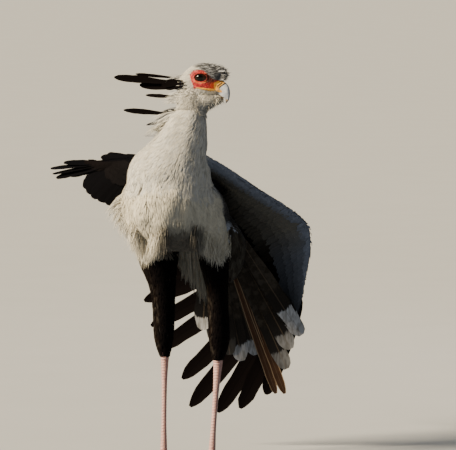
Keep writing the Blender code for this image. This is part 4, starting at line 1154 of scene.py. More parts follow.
def leg_colour_group():
    """The pale pink of the lower legs; the skin's finish mixes it browner where the skin shows between and under the
    plates, as painted shade.
    """
    tree = new_group("leg_colour", (("Colour", "NodeSocketColor"), ("Height", "NodeSocketFloat")))
    place = put(tree, "ShaderNodeTexCoord").outputs["Object"]
    grain = noise(tree, place, 240.0, 4.0)
    pink = mixed(tree, between(tree, grain, 0.35, 0.7), (0.56, 0.31, 0.28, 1), (0.78, 0.52, 0.47, 1))
    close_group(tree, Colour=pink, Height=grain)
    return tree


def scale_finish(group):
    made, tree, shader = new_finish("leg_scale", 0.5, 0.4)
    looks = put(tree, "ShaderNodeGroup", {"node_tree": group})
    tree.links.new(looks.outputs["Colour"], shader.inputs["Base Color"])
    bumped(tree, shader, looks.outputs["Height"], 0.3, 0.0004)
    return made


def skin_finish(group, leg_group):
    """The one skin: feathered parts like the plumage over them, the bare face and the legs."""
    made, tree, shader = new_finish("skin", 0.55, 0.35)
    looks = put(tree, "ShaderNodeGroup", {"node_tree": group})
    leg_looks = put(tree, "ShaderNodeGroup", {"node_tree": leg_group})
    place = put(tree, "ShaderNodeTexCoord").outputs["Object"]
    grain = noise(tree, place, 240.0, 4.0)
    fine = noise(tree, place, 700.0, 2.0)
    cells = put(tree, "ShaderNodeTexVoronoi", {"feature": "DISTANCE_TO_EDGE"}, Vector=place, Scale=330.0).outputs[0]
    mottle_and_painted_highlights = noise(tree, place, 130.0, 3.0)
    red = mixed(tree, between(tree, grain, 0.38, 0.60), (0.24, 0.003, 0.004, 1), (0.62, 0.010, 0.016, 1))
    red = mixed(tree, between(tree, mottle_and_painted_highlights, 0.44, 0.30), red, (0.13, 0.003, 0.004, 1))
    # Pale pinkish-red patches are painted highlights, spread over the bare skin as mottling; the darker patches are
    # mottling.
    red = mixed(tree, between(tree, mottle_and_painted_highlights, 0.56, 0.68), red, (0.86, 0.13, 0.12, 1))
    red = mixed(tree, between(tree, fine, 0.52, 0.66), red, (0.78, 0.12, 0.10, 1))
    red = mixed(tree, between(tree, cells, 0.10, 0.0), red, (0.10, 0.002, 0.003, 1))
    ring_share = sums(tree, "MULTIPLY", value_of(tree, "eye_ring"), between(tree, fine, 0.30, 0.52))
    red = mixed(tree, ring_share, red, (0.90, 0.30, 0.030, 1))
    # Dark brownish red ahead of the eye is painted shade on the lore.
    red = mixed(tree, value_of(tree, "painted_lore_shade"), red, (0.070, 0.009, 0.004, 1))
    red = mixed(tree, value_of(tree, "flush"), red, (0.62, 0.085, 0.010, 1))
    yellow = mixed(tree, between(tree, fine, 0.4, 0.6), (0.78, 0.30, 0.012, 1), (0.90, 0.56, 0.09, 1))
    face = mixed(tree, value_of(tree, "gape"), red, yellow)
    # creases: a dark line along the mouth's groove and dark nostril slits, painted shade in the groove and the
    # openings.
    face = mixed(tree, value_of(tree, "creases"), face, (0.08, 0.012, 0.008, 1))
    # The leg's skin, seen between and under the plates, is mixed browner: painted shade.
    leg = mixed(tree, 0.35, leg_looks.outputs["Colour"], (0.34, 0.17, 0.14, 1))
    colour = mixed(tree, value_of(tree, "bare"), looks.outputs["Colour"], face)
    colour = mixed(tree, value_of(tree, "leg"), colour, leg)
    tree.links.new(colour, shader.inputs["Base Color"])
    bumped(tree, shader, sums(tree, "ADD", grain, sums(tree, "MULTIPLY", fine, 0.5)), 0.5, 0.0006)
    return made


def horn_finish():
    """Bill: blue-grey horn, paler to the tip, with its yellow base and a dark ridge."""
    made, tree, shader = new_finish("bill_horn", 0.38, 0.4)
    place = put(tree, "ShaderNodeTexCoord").outputs["Object"]
    grain = noise(tree, place, 120.0, 3.0)
    horn = mixed(tree, between(tree, grain, 0.3, 0.7), (0.56, 0.61, 0.67, 1), (0.84, 0.86, 0.86, 1))
    horn = mixed(tree, value_of(tree, "edge"), horn, (0.42, 0.24, 0.05, 1))
    horn = mixed(tree, value_of(tree, "ridge"), horn, (0.10, 0.14, 0.21, 1))
    base = mixed(tree, grain, (0.72, 0.24, 0.010, 1), (0.88, 0.52, 0.07, 1))
    speckled = sums(tree, "MULTIPLY", value_of(tree, "base"), between(tree, noise(tree, place, 500.0), 0.20, 0.42))
    colour = mixed(tree, speckled, horn, base)
    # The black slits are painted shade for the nostril openings, which the bill's mesh does not have.
    colour = mixed(tree, value_of(tree, "slit"), colour, (0.012, 0.010, 0.010, 1))
    tree.links.new(colour, shader.inputs["Base Color"])
    bumped(tree, shader, noise(tree, place, 420.0, 3.0), 0.12, 0.0004)
    return made


def eye_finish():
    """A wet dark-brown eye with its black pupil."""
    made, tree, shader = new_finish("eye", 0.05, 0.20)
    tree.links.new(
        mixed(tree, value_of(tree, "pupil"), (0.020, 0.008, 0.004, 1), (0.0015, 0.0015, 0.0015, 1)),
        shader.inputs["Base Color"],
    )
    return made


def claw_finish():
    made, tree, shader = new_finish("claw_horn", 0.4, 0.4)
    place = put(tree, "ShaderNodeTexCoord").outputs["Object"]
    colour = mixed(tree, noise(tree, place, 160.0), (0.012, 0.010, 0.009, 1), (0.060, 0.048, 0.040, 1))
    tree.links.new(colour, shader.inputs["Base Color"])
    bumped(tree, shader, noise(tree, place, 500.0), 0.2, 0.0003)
    return made


def floor_finish():
    made, tree, shader = new_finish("floor_paint", 0.9, 0.1)
    place = put(tree, "ShaderNodeTexCoord").outputs["Object"]
    tree.links.new(mixed(tree, noise(tree, place, 3.0), (0.62, 0.62, 0.60, 1), (0.66, 0.66, 0.64, 1)), shader.inputs["Base Color"])
    return made


def strands(name, locks, hairs, width, stray, rng, finish, slot="plumage_white"):
    """Loose locks of fine feathers: each from its root to its tip, bowed, and frayed towards the tip."""
    lines, widths, dark, warm, stations = [], [], [], [], np.array((0.0, 0.25, 0.5, 0.75, 1.0))
    for root, tip, bow, tone, warmth in locks:
        root, tip, bow = (np.array(v, float) for v in (root, tip, bow))
        start = root + rng.normal(0, 0.003, (hairs, 3)) * stray[0]
        end = root + (tip - root) * rng.uniform(0.62, 1.04, (hairs, 1)) + rng.normal(0, 0.0045, (hairs, 3)) * stray[1]
        sag = bow * rng.uniform(0.7, 1.3, (hairs, 1))
        share = stations[None, :, None]
        lines.append(start[:, None] + (end - start)[:, None] * share + sag[:, None] * np.sin(np.pi * share))
        widths.append(width * rng.uniform(0.7, 1.3, hairs))
        dark.append(np.clip(tone + rng.normal(0, 0.06, hairs), 0, 1))
        warm.append(np.full(hairs, warmth))
    lines, widths, dark, warm = (np.concatenate(part) for part in (lines, widths, dark, warm))
    outline = tuple(zip(stations, (0.55, 1.0, 0.95, 0.7, 0.12)))
    along = unit(np.gradient(lines, axis=1))
    ups = flat(np.array((-0.5, -1.0, 0.4)) + rng.normal(0, 0.5, (len(lines), 1, 3)), along)
    rings = blade_rings(lines, ups, widths, outline, width * 0.12, 0.1)
    unwraps = nearest_roots(lines[:, 0])[:, 5:7] * 0.99 + rng.random((len(lines), 2)) * 0.004
    made = blade_mesh(name, rings, unwraps, stations, {"tone": rng.random(len(lines)), "dark": dark, "warm": warm})
    return dress(made, finish, slot=slot)


def plates_tree():
    """Overlapping plates along paths: each path gives its width, depth and outward direction."""
    tree = bpy.data.node_groups.new("plates_along_paths", "GeometryNodeTree")
    for label, kind in PLATE_INPUTS:
        tree.interface.new_socket(label, in_out="INPUT", socket_type=f"NodeSocket{kind}")
    tree.interface.new_socket("Plates", in_out="OUTPUT", socket_type="NodeSocketGeometry")
    given = tree.nodes.new("NodeGroupInput").outputs
    path = put(tree, "GeometryNodeMeshToCurve", None, Mesh=given["Paths"]).outputs[0]
    path = put(tree, "GeometryNodeResampleCurve", {"mode": "LENGTH"}, Curve=path, Length=given["Spacing"]).outputs[0]
    ball = put(tree, "GeometryNodeMeshUVSphere", None, Segments=10, Rings=5).outputs[0]
    along = put(tree, "GeometryNodeInputTangent").outputs[0]
    out = put(tree, "GeometryNodeInputNamedAttribute", {"data_type": "FLOAT_VECTOR"}, Name="out").outputs[0]
    turn = put(tree, "FunctionNodeAlignRotationToVector", {"axis": "Z"}, Vector=along).outputs[0]
    turn = put(tree, "FunctionNodeAlignRotationToVector", {"axis": "Y", "pivot_axis": "Z"}, Rotation=turn, Vector=out).outputs[0]
    wide, deep = (
        put(tree, "GeometryNodeInputNamedAttribute", {"data_type": "FLOAT"}, Name=name).outputs[0] for name in ("wide", "deep")
    )
    uneven = put(tree, "FunctionNodeRandomValue", {"data_type": "FLOAT"}, _2=0.88, _3=1.12, Seed=given["Seed"]).outputs[1]
    tall = sums(tree, "MULTIPLY", sums(tree, "MULTIPLY", given["Spacing"], given["Overlap"]), uneven)
    size = put(tree, "ShaderNodeCombineXYZ", None, X=wide, Y=deep, Z=tall).outputs[0]
    plates = put(tree, "GeometryNodeInstanceOnPoints", None, Points=path, Instance=ball, Rotation=turn, Scale=size).outputs[0]
    plates = put(tree, "GeometryNodeRealizeInstances", None, Geometry=plates).outputs[0]
    plates = put(tree, "GeometryNodeSetShadeSmooth", None, Geometry=plates).outputs[0]
    plates = put(tree, "GeometryNodeSetMaterial", None, Geometry=plates, Material=given["Finish"]).outputs[0]
    tree.links.new(plates, tree.nodes.new("NodeGroupOutput").inputs["Plates"])
    return tree


PLATE_INPUTS = (("Paths", "Geometry"), ("Spacing", "Float"), ("Overlap", "Float"), ("Seed", "Int"), ("Finish", "Material"))


def tarsus_path(rows, out, share, lean):
    """A path down a lower leg, moved outwards: places, half width, half depth and direction."""
    fine = smooth_rows(rows, 5)
    fine = fine[fine[:, 2] < 0.312]
    place = fine[:, :3] + out * (fine[:, 4] * lean)[:, None]
    return place, fine[:, 3] * share, fine[:, 4] * share, np.broadcast_to(out, place.shape)


def toe_paths(foot, mirror):
    """Paths along the upper sides of the toes."""
    paths = []
    for turn, length, half in TOES:
        angle = BODY_TURN - math.radians(turn * mirror)
        ahead = np.array((-math.sin(angle), -math.cos(angle), 0))
        share = np.linspace(0.12, 0.90, 8)
        size = half * np.interp(share, (0, 0.42, 0.74, 1), (1.12, 0.92, 0.84, 0.62))
        place = np.array(foot) + ahead * (length * share)[:, None] + UP * (size * 1.02)[:, None]
        paths.append((place, size * 0.90, size * 0.95, np.broadcast_to(UP, place.shape)))
    return paths


def plated(name, paths, tree, finish, **values):
    """The plates along some paths as a plain mesh."""
    places, edges = [], []
    for path in paths:
        edges += [(len(places) + k, len(places) + k + 1) for k in range(len(path[0]) - 1)]
        places += list(path[0] + SHIFT)
    mesh = bpy.data.meshes.new(name)
    mesh.from_pydata([tuple(p) for p in places], edges, [])
    put_value(mesh, "wide", np.concatenate([path[1] for path in paths]))
    put_value(mesh, "deep", np.concatenate([path[2] for path in paths]))
    out = np.concatenate([path[3] for path in paths]).ravel()
    mesh.attributes.new("out", "FLOAT_VECTOR", "POINT").data.foreach_set("vector", out)
    made = bpy.data.objects.new(name, mesh)
    bpy.context.scene.collection.objects.link(made)
    step = made.modifiers.new("Plates", "NODES")
    step.node_group = tree
    for item in tree.interface.items_tree:
        if item.in_out == "INPUT" and item.name in values:
            step[item.identifier] = values[item.name]
        if item.name == "Finish":
            step[item.identifier] = finish
    return applied(made)


def dress(piece, finish, *nodes, slot="plumage_white"):
    """Gives a piece its material and its body, and hides the nodes that it stands for. The slot is not used."""
    piece.data.materials.clear()
    piece.data.materials.append(finish)
    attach(piece, "root")
    if nodes:
        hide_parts(*nodes)
    return piece


def smooth(piece, angle=None):
    piece.data.polygons.foreach_set("use_smooth", np.ones(len(piece.data.polygons), bool))
    if angle:
        piece.data.set_sharp_from_angle(angle=math.radians(angle))
    return piece


def places_of(mesh):
    co = np.empty(len(mesh.vertices) * 3)
    mesh.vertices.foreach_get("co", co)
    return co.reshape(-1, 3) - SHIFT


def put_value(mesh, name, values):
    mesh.attributes.new(name, "FLOAT", "POINT").data.foreach_set("value", np.asarray(values, float))


PLUMAGE_COLOUR = plumage_colour_group()
SOFT = plumage_finish("soft_plumage", PLUMAGE_COLOUR, 0.9, 0.10, 0.15)
SLEEK = plumage_finish("sleek_plumage", PLUMAGE_COLOUR, 0.75, 0.02)
LEG_COLOUR = leg_colour_group()
SKIN, SCALES = skin_finish(PLUMAGE_COLOUR, LEG_COLOUR), scale_finish(LEG_COLOUR)
TAIL_VANES = tail_finish()
HORN, EYE, CLAW = horn_finish(), eye_finish(), claw_finish()

forms = {
    "torso": torso_form(-0.0045),
    "neck": neck_form(0, 9.0, -0.0035),
    "thigh_right": leg_form(THIGH_RIGHT, -0.0045),
    "thigh_left": leg_form(THIGH_LEFT, -0.0045),
    "tail": tail_form(-0.004),
    "wing_left": wing_form(LEFT_WING, 1, -0.0015),
    "wing_right": wing_form(RIGHT_WING, -1, -0.0015),
}
head_forms = {
    "skull": paired_form(SKULL, 6, 56, 0.0),
    "throat": throat_form(-0.0035),
    "neck_top": neck_form(6.8, 9, -0.0055),
}
leg_parts = [
    leg_form(TARSUS_RIGHT, -0.0006, 24), leg_form(TARSUS_LEFT, -0.0006, 24),
    *toe_forms(FOOT_RIGHT, 1), *toe_forms(FOOT_LEFT, -1),
]



def socket_form(hand):
    return eye_form(hand, 0.0002)


def stand(made):
    """Flattens what lies under the floor onto it."""
    places = places_of(made.data) + SHIFT
    places[:, 2] = np.maximum(places[:, 2], 0.0003)
    made.data.vertices.foreach_set("co", places.ravel())


skin = merged("skin", list(forms.values()), BODY_VOXEL)
head = merged("head_skin", [*head_forms.values(), lid_form(1), lid_form(-1)], HEAD_VOXEL)
sculpt_face(head)
cut(head, [closed_object("socket", [form(hand)]) for hand in (1, -1) for form in (socket_form, lid_gap)])
legs = merged("leg_skin", leg_parts, LEG_VOXEL)
stand(legs)
joined(skin, [head, legs])
smooth(skin)

every = {**forms, "skull": head_forms["skull"], "throat": head_forms["throat"]}
trees = {key: tree_of([grid]) for key, grid in every.items()}
body_tree = tree_of(list(every.values()))
PARTS = ("head", "neck_upper", "neck_lower", "torso", "tail", "wing_left_arm", "wing_left_hand", "wing_right_arm",
         "wing_right_hand", "thigh_right", "thigh_left", "tarsus_right", "tarsus_left", "foot_right", "foot_left")


def rest(*keys):
    """Trees of all forms but the named ones."""
    return [tree for key, tree in trees.items() if key not in keys]


# Fields that the plumage lies along

def downwards(place, normal, along):
    return np.broadcast_to((0.0, 0.0, -1.0), place.shape)


def neck_lie(place, normal, along):
    """Down the neck, and on its upper part swept a little to the bird's right and back by the wind."""
    swept = step(place[:, 2], 0.84, 1.02)[:, None]
    return -along + swept * np.array((-0.55, 0.20, 0.0))


def torso_lie(place, normal, along):
    share = np.clip((place - body_point(0.05, 0, 0.78)) @ BODY_AHEAD / 0.2, 0, 1)[:, None]
    return -BODY_AHEAD * (1.15 - share) - UP * (0.25 + share)


def head_lie(place, normal, along):
    return -AHEAD * 0.9 - UP * 0.30 + unit(place - head_point(0.07, 0, -0.02)) * 0.7


def throat_lie(place, normal, along):
    """Back and down, hanging under the bill."""
    return -AHEAD * 0.7 - UP * 0.9


def wing_lie(plan, spans, wrist, stations):
    """Across the wing to the tips of its flight feathers."""
    total = len(stations) - 1
    count = len(LEFT_SECONDARIES) if wrist == LEFT_WRIST else len(RIGHT_SECONDARIES)
    shares = []
    for k in range(len(plan)):
        if k < count:
            shares.append((spans[0][0][0] + (spans[0][0][1] - spans[0][0][0]) * k / (count - 1)) * wrist / total)
        else:
            along = (k - count) / (len(plan) - count - 1)
            shares.append((wrist + (spans[1][0][0] + (spans[1][0][1] - spans[1][0][0]) * along) * (total - wrist)) / total)
    edges = smooth_rows([row[:3] for row in stations], 8)

    def lie(place, normal, along):
        nearest = np.argmin(np.linalg.norm(place[:, None] - edges[None], axis=-1), axis=1) / (len(edges) - 1)
        tips = np.column_stack([np.interp(nearest, shares, plan[:, 6 + k]) for k in range(3)])
        return tips - place

    return lie


SPOT = (-0.1376, 0.850)


# Markings: how dark and how warm the plumage is at a place

def spot_shade(place, normal):
    """The small brown spot on the breast, at the roots of the tufts that end there."""
    away = np.hypot(place[:, 0] - SPOT[0], (place[:, 2] - SPOT[1]) * 0.6)
    return 0.92 * np.exp(-((away / 0.0045) ** 2)) * (normal[:, 1] < 0)


def white_marks(place, normal, rng):
    """White with faint grey streaks, painted shade between the locks."""
    shade = 0.05 + 0.07 * streaks(place, np.array((520, 520, 60))) + rng.uniform(-0.03, 0.03, len(place))
    return np.maximum(np.maximum(shade, 0), spot_shade(place, normal)), rng.uniform(0.55, 0.85, len(place))


def painted_belly_shade(across):
    """How far a place between the thighs lies in the belly's shadow, which the plumage carries as painted shade."""
    return step(across, -0.105, -0.080) * step(-across, -0.045, -0.020)


def thigh_top_marks_painted_shade(place, normal, rng):
    dark, warm = white_marks(place, normal, rng)
    # Painted shade darkens the thigh tops between the thighs.
    return dark + 0.5 * painted_belly_shade(place[:, 0]), warm + 0.2


def torso_marks_painted_shade(place, normal, rng):
    """White breast and belly, blue-grey back, black rump, with faint grey streaks of painted shade between the locks
    and painted shade low on the belly between the thighs.
    """
    ahead = (place - np.array(HIP_CENTRE)) @ BODY_AHEAD
    back = step(normal[:, 2], 0.25, 0.65) * step(0.12 - ahead, 0.0, 0.05)
    rump = step(-ahead, -0.02, 0.06)
    dark = np.maximum(0.42 * back, 0.97 * rump * step(normal[:, 2], -0.4, 0.0))
    # below: painted shade on the downward-facing belly between the thighs
    below = step(-normal[:, 2], -0.15, 0.60) * step(-place[:, 2], -0.77, -0.68) * painted_belly_shade(place[:, 0])
    # The faint grey streaks are painted shade between the locks.
    dark = dark + np.maximum(0, 0.05 + 0.07 * streaks(place, np.array((520, 520, 60)))) + 0.52 * below
    return np.maximum(dark, spot_shade(place, normal)), 0.95 - 0.85 * np.maximum(back, rump)


def head_marks(place, normal, rng):
    """White cheeks and nape with faint grey streaks of painted shade, dark crown and forehead with pale streaks."""
    a, _, c = face_places(place)
    border = np.interp(a, (-0.05, -0.02, 0.0, 0.01, 0.02, 0.034, 0.044, 0.052, 0.061, 0.075),
                       (0.038, 0.030, 0.026, 0.0225, 0.017, 0.009, -0.001, -0.010, -0.015, -0.020))
    crown = step(c - border, -0.001, 0.004) * (0.30 + 0.70 * step(a, -0.020, 0.020)) * step(a, -0.045, -0.03)
    turned = np.column_stack([a, place @ RIGHT, c])
    streak = 0.5 + 0.5 * streaks(turned, np.array((70, 800, 1100)))
    front = step(a, 0.000, 0.045)
    shade = 0.03 + 0.62 * streak + 0.12 * front + rng.normal(0, 0.13, len(place))
    # cheek: faint grey streaks, painted shade between the locks.
    cheek = 0.05 * (1 - crown) * np.maximum(0, streaks(turned, np.array((150, 500, 900))))
    return np.clip(crown * shade + cheek, 0, 1) + rng.uniform(0, 0.03, len(place)), 0.7 - 0.35 * crown


def black_marks(place, normal, rng):
    """Black with faint brown bars across, painted only where the feathers face the key light, so that side is painted
    lighter and warmer.
    """
    bars = 0.5 + 0.5 * np.sin(place[:, 2] * 620 + 2 * np.sin(place[:, 0] * 90))
    # The bars are limited to the side facing the key light, which is thereby painted lighter.
    painted_lit_side = step(-normal[:, 0], 0.2, 0.9)
    return 0.98 - 0.26 * bars * painted_lit_side * rng.random(len(place)), 0.2 + 0.8 * bars * painted_lit_side


def jet_marks(place, normal, rng):
    return np.full(len(place), 0.985), rng.uniform(0.0, 0.1, len(place))


def cream_marks_painted_shade(place, normal, rng):
    # Whitish undertail feathers painted dark warm cream as they look in shade, those facing forward a little lighter
    # and warmer, darker streaks towards the left thigh: painted shade.
    front = step(-normal[:, 1], -0.2, 0.3)
    beside = front * step(place[:, 0], 0.085, 0.115) * (0.5 + 0.5 * streaks(place, np.array((500, 500, 60))))
    return 0.86 - 0.10 * front - 0.16 * beside + 0.1 * rng.random(len(place)), 0.9 * front + 0.1


def wing_marks(stations, hand):
    """Blue-grey along the front edge, olive grey behind it, black from half the chord on; the olive grey is painted
    shade on the whitish lining.
    """
    edges = smooth_rows([row[:3] for row in stations], 8)
    chords = smooth_rows([row[6:7] for row in stations], 8)[:, 0]

    def marks(place, normal, rng):
        away = np.linalg.norm(place[:, None] - edges[None], axis=-1)
        nearest = np.argmin(away, axis=1)
        share = away[np.arange(len(place)), nearest] / chords[nearest]
        dark = np.interp(share, (0.0, 0.10, 0.18, 0.45, 0.8), (0.26, 0.34, 0.48, 0.60, 0.90))
        warm = np.interp(share, (0.0, 0.10, 0.18, 0.5), (0.0, 0.05, 0.70, 0.8))
        return dark + rng.uniform(-0.04, 0.04, len(place)), warm

    return marks


rng = np.random.default_rng(7)
FLAT = (-0.0008, 0.0012, 0.0020, 0.0024)
HAIR = (-0.0004, 0.0008, 0.0014)

for name, low, high in (("lower", 0.70, 0.935), ("upper", 0.935, 1.20)):
    for side, facing in (("front", 1), ("back", -1)):
        dress(fluff(f"neck_{name}_{side}_plumage", forms["neck"], rest("neck"), body_tree, 19000, (0.030, 0.0040), BODY_TUFT,
                    FLAT, neck_lie, white_marks, rng, lumps=0.0016,
                    want=lambda p, n: (p[:, 2] >= low) & (p[:, 2] < high) & ((n[:, 1] * facing) < 0)), SOFT)
dress(fluff("breast_plumage", forms["torso"], rest("torso"), body_tree, 17000, (0.034, 0.0048), BODY_TUFT, FLAT,
            torso_lie, torso_marks_painted_shade, rng, lumps=0.0026, want=lambda p, n: ((p - np.array(HIP_CENTRE)) @ BODY_AHEAD > 0.10) & ~((p[:, 0] > 0.110) & (p[:, 2] < 0.74))), SOFT)
dress(fluff("back_plumage", forms["torso"], rest("torso"), body_tree, 12400, (0.036, 0.0070), BODY_TUFT, FLAT,
            torso_lie, torso_marks_painted_shade, rng, want=lambda p, n: ((p - np.array(HIP_CENTRE)) @ BODY_AHEAD <= 0.10) & ~((p[:, 0] > 0.110) & (p[:, 2] < 0.74) & (p[:, 1] < 0.06))), SOFT)


def feathered(place, normal):
    return bare(place) < 0.25


def crowned(place, normal):
    a, _, c = face_places(place)
    return feathered(place, normal) & (c > np.interp(a, (-0.06, 0.0, 0.04, 0.075), (0.020, 0.022, 0.008, -0.016)))


def cheeked(place, normal):
    return feathered(place, normal) & ~crowned(place, normal)


def throat_marks(place, normal, rng):
    # Faint grey streaks on the white throat: painted shade between the hanging locks.
    shade = 0.05 + 0.15 * streaks(place, np.array((900, 900, 260))) + rng.normal(0, 0.05, len(place))
    return np.clip(shade, 0, 0.4), rng.uniform(0.55, 0.85, len(place))


dress(fluff("crown_plumage", head_forms["skull"], rest("skull", "throat"), body_tree, 12000, (0.0150, 0.0017), HAIR_TUFT,
            (-0.0004, 0.0008, 0.0020), head_lie, head_marks, rng, spread=0.14, want=crowned, layers=0.0016), SOFT)
dress(fluff("cheek_plumage", head_forms["skull"], rest("skull", "throat"), body_tree, 11000, (0.0115, 0.0014), HAIR_TUFT,
            HAIR, head_lie, head_marks, rng, spread=0.16, want=cheeked, layers=0.0016), SOFT)
dress(fluff("throat_plumage", head_forms["throat"], rest("throat", "neck"), body_tree, 9600, (0.020, 0.0017), HAIR_TUFT,
            (-0.0008, 0.0026, 0.0070), throat_lie, throat_marks, rng, spread=0.30, want=feathered, layers=0.004,
            locks=0.30), SOFT)
THIGH_COAT_TOP = 0.655


def thigh_border(normal):
    """Height where a thigh's black coat ends under the white, higher on its back."""
    return THIGH_COAT_TOP + 0.06 * (normal[:, 1] > 0.3)


for side in ("right", "left"):
    dress(fluff(f"thigh_{side}_plumage", forms[f"thigh_{side}"], rest(f"thigh_{side}"), body_tree, 7800,
                (0.024, 0.0045), BODY_TUFT, FLAT, downwards, black_marks, rng,
                want=lambda p, n: p[:, 2] < thigh_border(n)), SLEEK, slot="plumage_black")
    dress(fluff(f"thigh_{side}_top_plumage", forms[f"thigh_{side}"], rest(f"thigh_{side}"), body_tree, 12000,
                (0.034, 0.0048), BODY_TUFT, FLAT, downwards, thigh_top_marks_painted_shade, rng,
                want=lambda p, n: p[:, 2] >= thigh_border(n) - 0.004), SOFT)
dress(fluff("tail_root_plumage", forms["tail"], rest("tail"), body_tree, 5200, (0.045, 0.0080), BODY_TUFT,
            FLAT, downwards, cream_marks_painted_shade, rng), SOFT)

left_plan = wing_plan(LEFT_WING, LEFT_WRIST, 1, (ROOTS["left_arm"], ROOTS["left_hand"]),
                      LEFT_SECONDARIES, LEFT_PRIMARIES)
right_plan = wing_plan(RIGHT_WING, RIGHT_WRIST, -1, (ROOTS["right_arm"], ROOTS["right_hand"]),
                       RIGHT_SECONDARIES, RIGHT_PRIMARIES)
dress(fluff("left_wing_plumage", forms["wing_left"], rest("wing_left"), body_tree, 7500, (0.026, 0.0080), ROUND_TUFT,
            FLAT, wing_lie(left_plan, (ROOTS["left_arm"], ROOTS["left_hand"]), LEFT_WRIST, LEFT_WING),
            wing_marks(LEFT_WING, 1), rng), SLEEK, slot="plumage_black")
dress(fluff("right_wing_plumage", forms["wing_right"], rest("wing_right"), body_tree, 4900, (0.026, 0.0080), ROUND_TUFT,
            FLAT, wing_lie(right_plan, (ROOTS["right_arm"], ROOTS["right_hand"]), RIGHT_WRIST, RIGHT_WING),
            jet_marks, rng), SLEEK, slot="plumage_black")

SHINGLE = math.radians(8)
feathers = [quill(r[:3], r[6:9], r[3:6], 0.054, FLIGHT, rng, 0.0, SHINGLE) for r in left_plan]
dress(quill_mesh("left_flight_feathers", feathers, rng, dark=0.98, warm=0.3), SLEEK, slot="plumage_black")
feathers = []
for k, row in enumerate(right_plan):
    if k < len(RIGHT_SECONDARIES):
        feathers.append(quill(row[:3], row[6:9], row[3:6], 0.054, FLIGHT, rng, 0.0, -SHINGLE))
    else:
        j = k - len(RIGHT_SECONDARIES)
        mix = min(1, max(0, j - 1) / 3)
        facing = unit(row[3:6] * (1 - mix) + np.array(PRIMARY_FACING) * mix)
        layer = facing * 0.0016 * (j - 3)
        feathers.append(quill(row[:3] + layer, row[6:9] + layer, facing, 0.032, FLIGHT, rng))
for k, tip in enumerate(RIGHT_TERTIALS):
    root = np.array((-0.128, -0.030, 0.903)) + np.array((-0.009, 0.016, -0.002)) * k
    feathers.append(quill(root, tip, (-0.9, -0.3, 0.2), 0.026, FLIGHT, rng))
dress(quill_mesh("right_flight_feathers", feathers, rng, dark=0.985, warm=0.05), SLEEK, slot="plumage_black")

# Rows of coverts: span, chord share of the roots, how many, length, width, lift at root and tip, dark, warm
FADE = ((0, 0.5, 0.7, 1), (0.9, 0.8, 0.1, 0.1))
# The lower rows paint the left wing's whitish lining olive grey to blue grey as it looks in shade: painted shade. The
# two rows along the front edge keep their own blue-grey.
LOWER_LEFT = (
    ((0.0, 0.62), 0.62, 26, 0.110, 0.032, (0.001, 0.005), ((0, 0.5, 0.62), (0.62, 0.66, 0.86)), ((0, 1), (0.95, 0.8))),
    ((0.0, 1.0), 0.48, 44, 0.085, 0.028, (0.001, 0.005), ((0, 0.4, 0.7, 1), (0.62, 0.58, 0.60, 0.76)), FADE),
    ((0.0, 1.0), 0.34, 60, 0.062, 0.020, (0.001, 0.006), ((0, 0.4, 0.7, 1), (0.56, 0.52, 0.54, 0.68)), FADE),
    ((0.0, 1.0), 0.24, 76, 0.046, 0.016, (0.001, 0.006), ((0, 0.4, 0.7, 1), (0.50, 0.48, 0.48, 0.62)), FADE),
    ((0.0, 1.0), 0.15, 96, 0.036, 0.012, (0.001, 0.005), ((0, 0.4, 0.7, 1), (0.48, 0.46, 0.44, 0.54)), FADE),
    ((0.0, 1.0), 0.07, 120, 0.028, 0.009, (0.001, 0.004), ((0, 1), (0.34, 0.38)), ((0, 1), (0.1, 0.0))),
    ((0.0, 1.0), 0.02, 130, 0.018, 0.008, (0.001, 0.003), ((0, 1), (0.26, 0.30)), ((0, 1), (0.0, 0.0))),
)
UPPER_LEFT = tuple((*row[:6], ((0, 1), (dark, dark)), ((0, 1), (0.1, 0.1))) for row, dark in
                   zip(LOWER_LEFT, (0.97, 0.95, 0.62, 0.54, 0.50, 0.46, 0.44)))
BLACK_ROWS = tuple((*row[:6], ((0, 1), (0.985, 0.985)), ((0, 1), (0.05, 0.05))) for row in LOWER_LEFT)
GREY_ROWS = tuple((*row[:6], ((0, 1), (0.90, 0.97)), ((0, 1), (0.2, 0.3))) for row in LOWER_LEFT)
for name, plan, face, rows in (
    ("left_lower_coverts", left_plan, -1, LOWER_LEFT), ("left_upper_coverts", left_plan, 1, UPPER_LEFT),
    ("right_lower_coverts", right_plan, -1, BLACK_ROWS), ("right_upper_coverts", right_plan, 1, GREY_ROWS),
):
    dress(wing_coat(name, plan, [(face, *row) for row in rows], rng), SLEEK, slot="plumage_black")

# How white each tail feather's tip is: low values turn a tip grey to black, partly for tips with less white and partly
# as painted shade on tips that lie in shadow.
TAIL_WHITE_WITH_PAINTED_SHADE = (0.8, 0.1, 0.05, 0.75, 0.8, 0.0, 0.0, 0.3, 0.45, 0.8, 1.0, 1.0)
middle = (len(TAIL_TIPS) - 1) / 2
feathers = []
for k, tip in enumerate(TAIL_TIPS):
    beside = abs(k - middle)
    root = np.array(TAIL_ROOT) + ((0.0055 * (k - middle)), 0.009 - 0.0028 * beside - 0.0014 * (k < middle), 0)
    width = TAIL_FEATHER_WIDTH * (0.52 if beside < 1 else 1)
    feathers.append(quill(root, tip, (0.012 * (middle - k), 1, 0.1), width, RECTRIX, rng))
plain = np.array([abs(k - middle) < 1 for k in range(len(TAIL_TIPS))], float)
dress(quill_mesh("tail_feathers", feathers, rng, plain=plain, band_from=0.70, white_from=0.89,
                 white_share=TAIL_WHITE_WITH_PAINTED_SHADE), TAIL_VANES, slot="plumage_tail")

feathers, dark = [], []
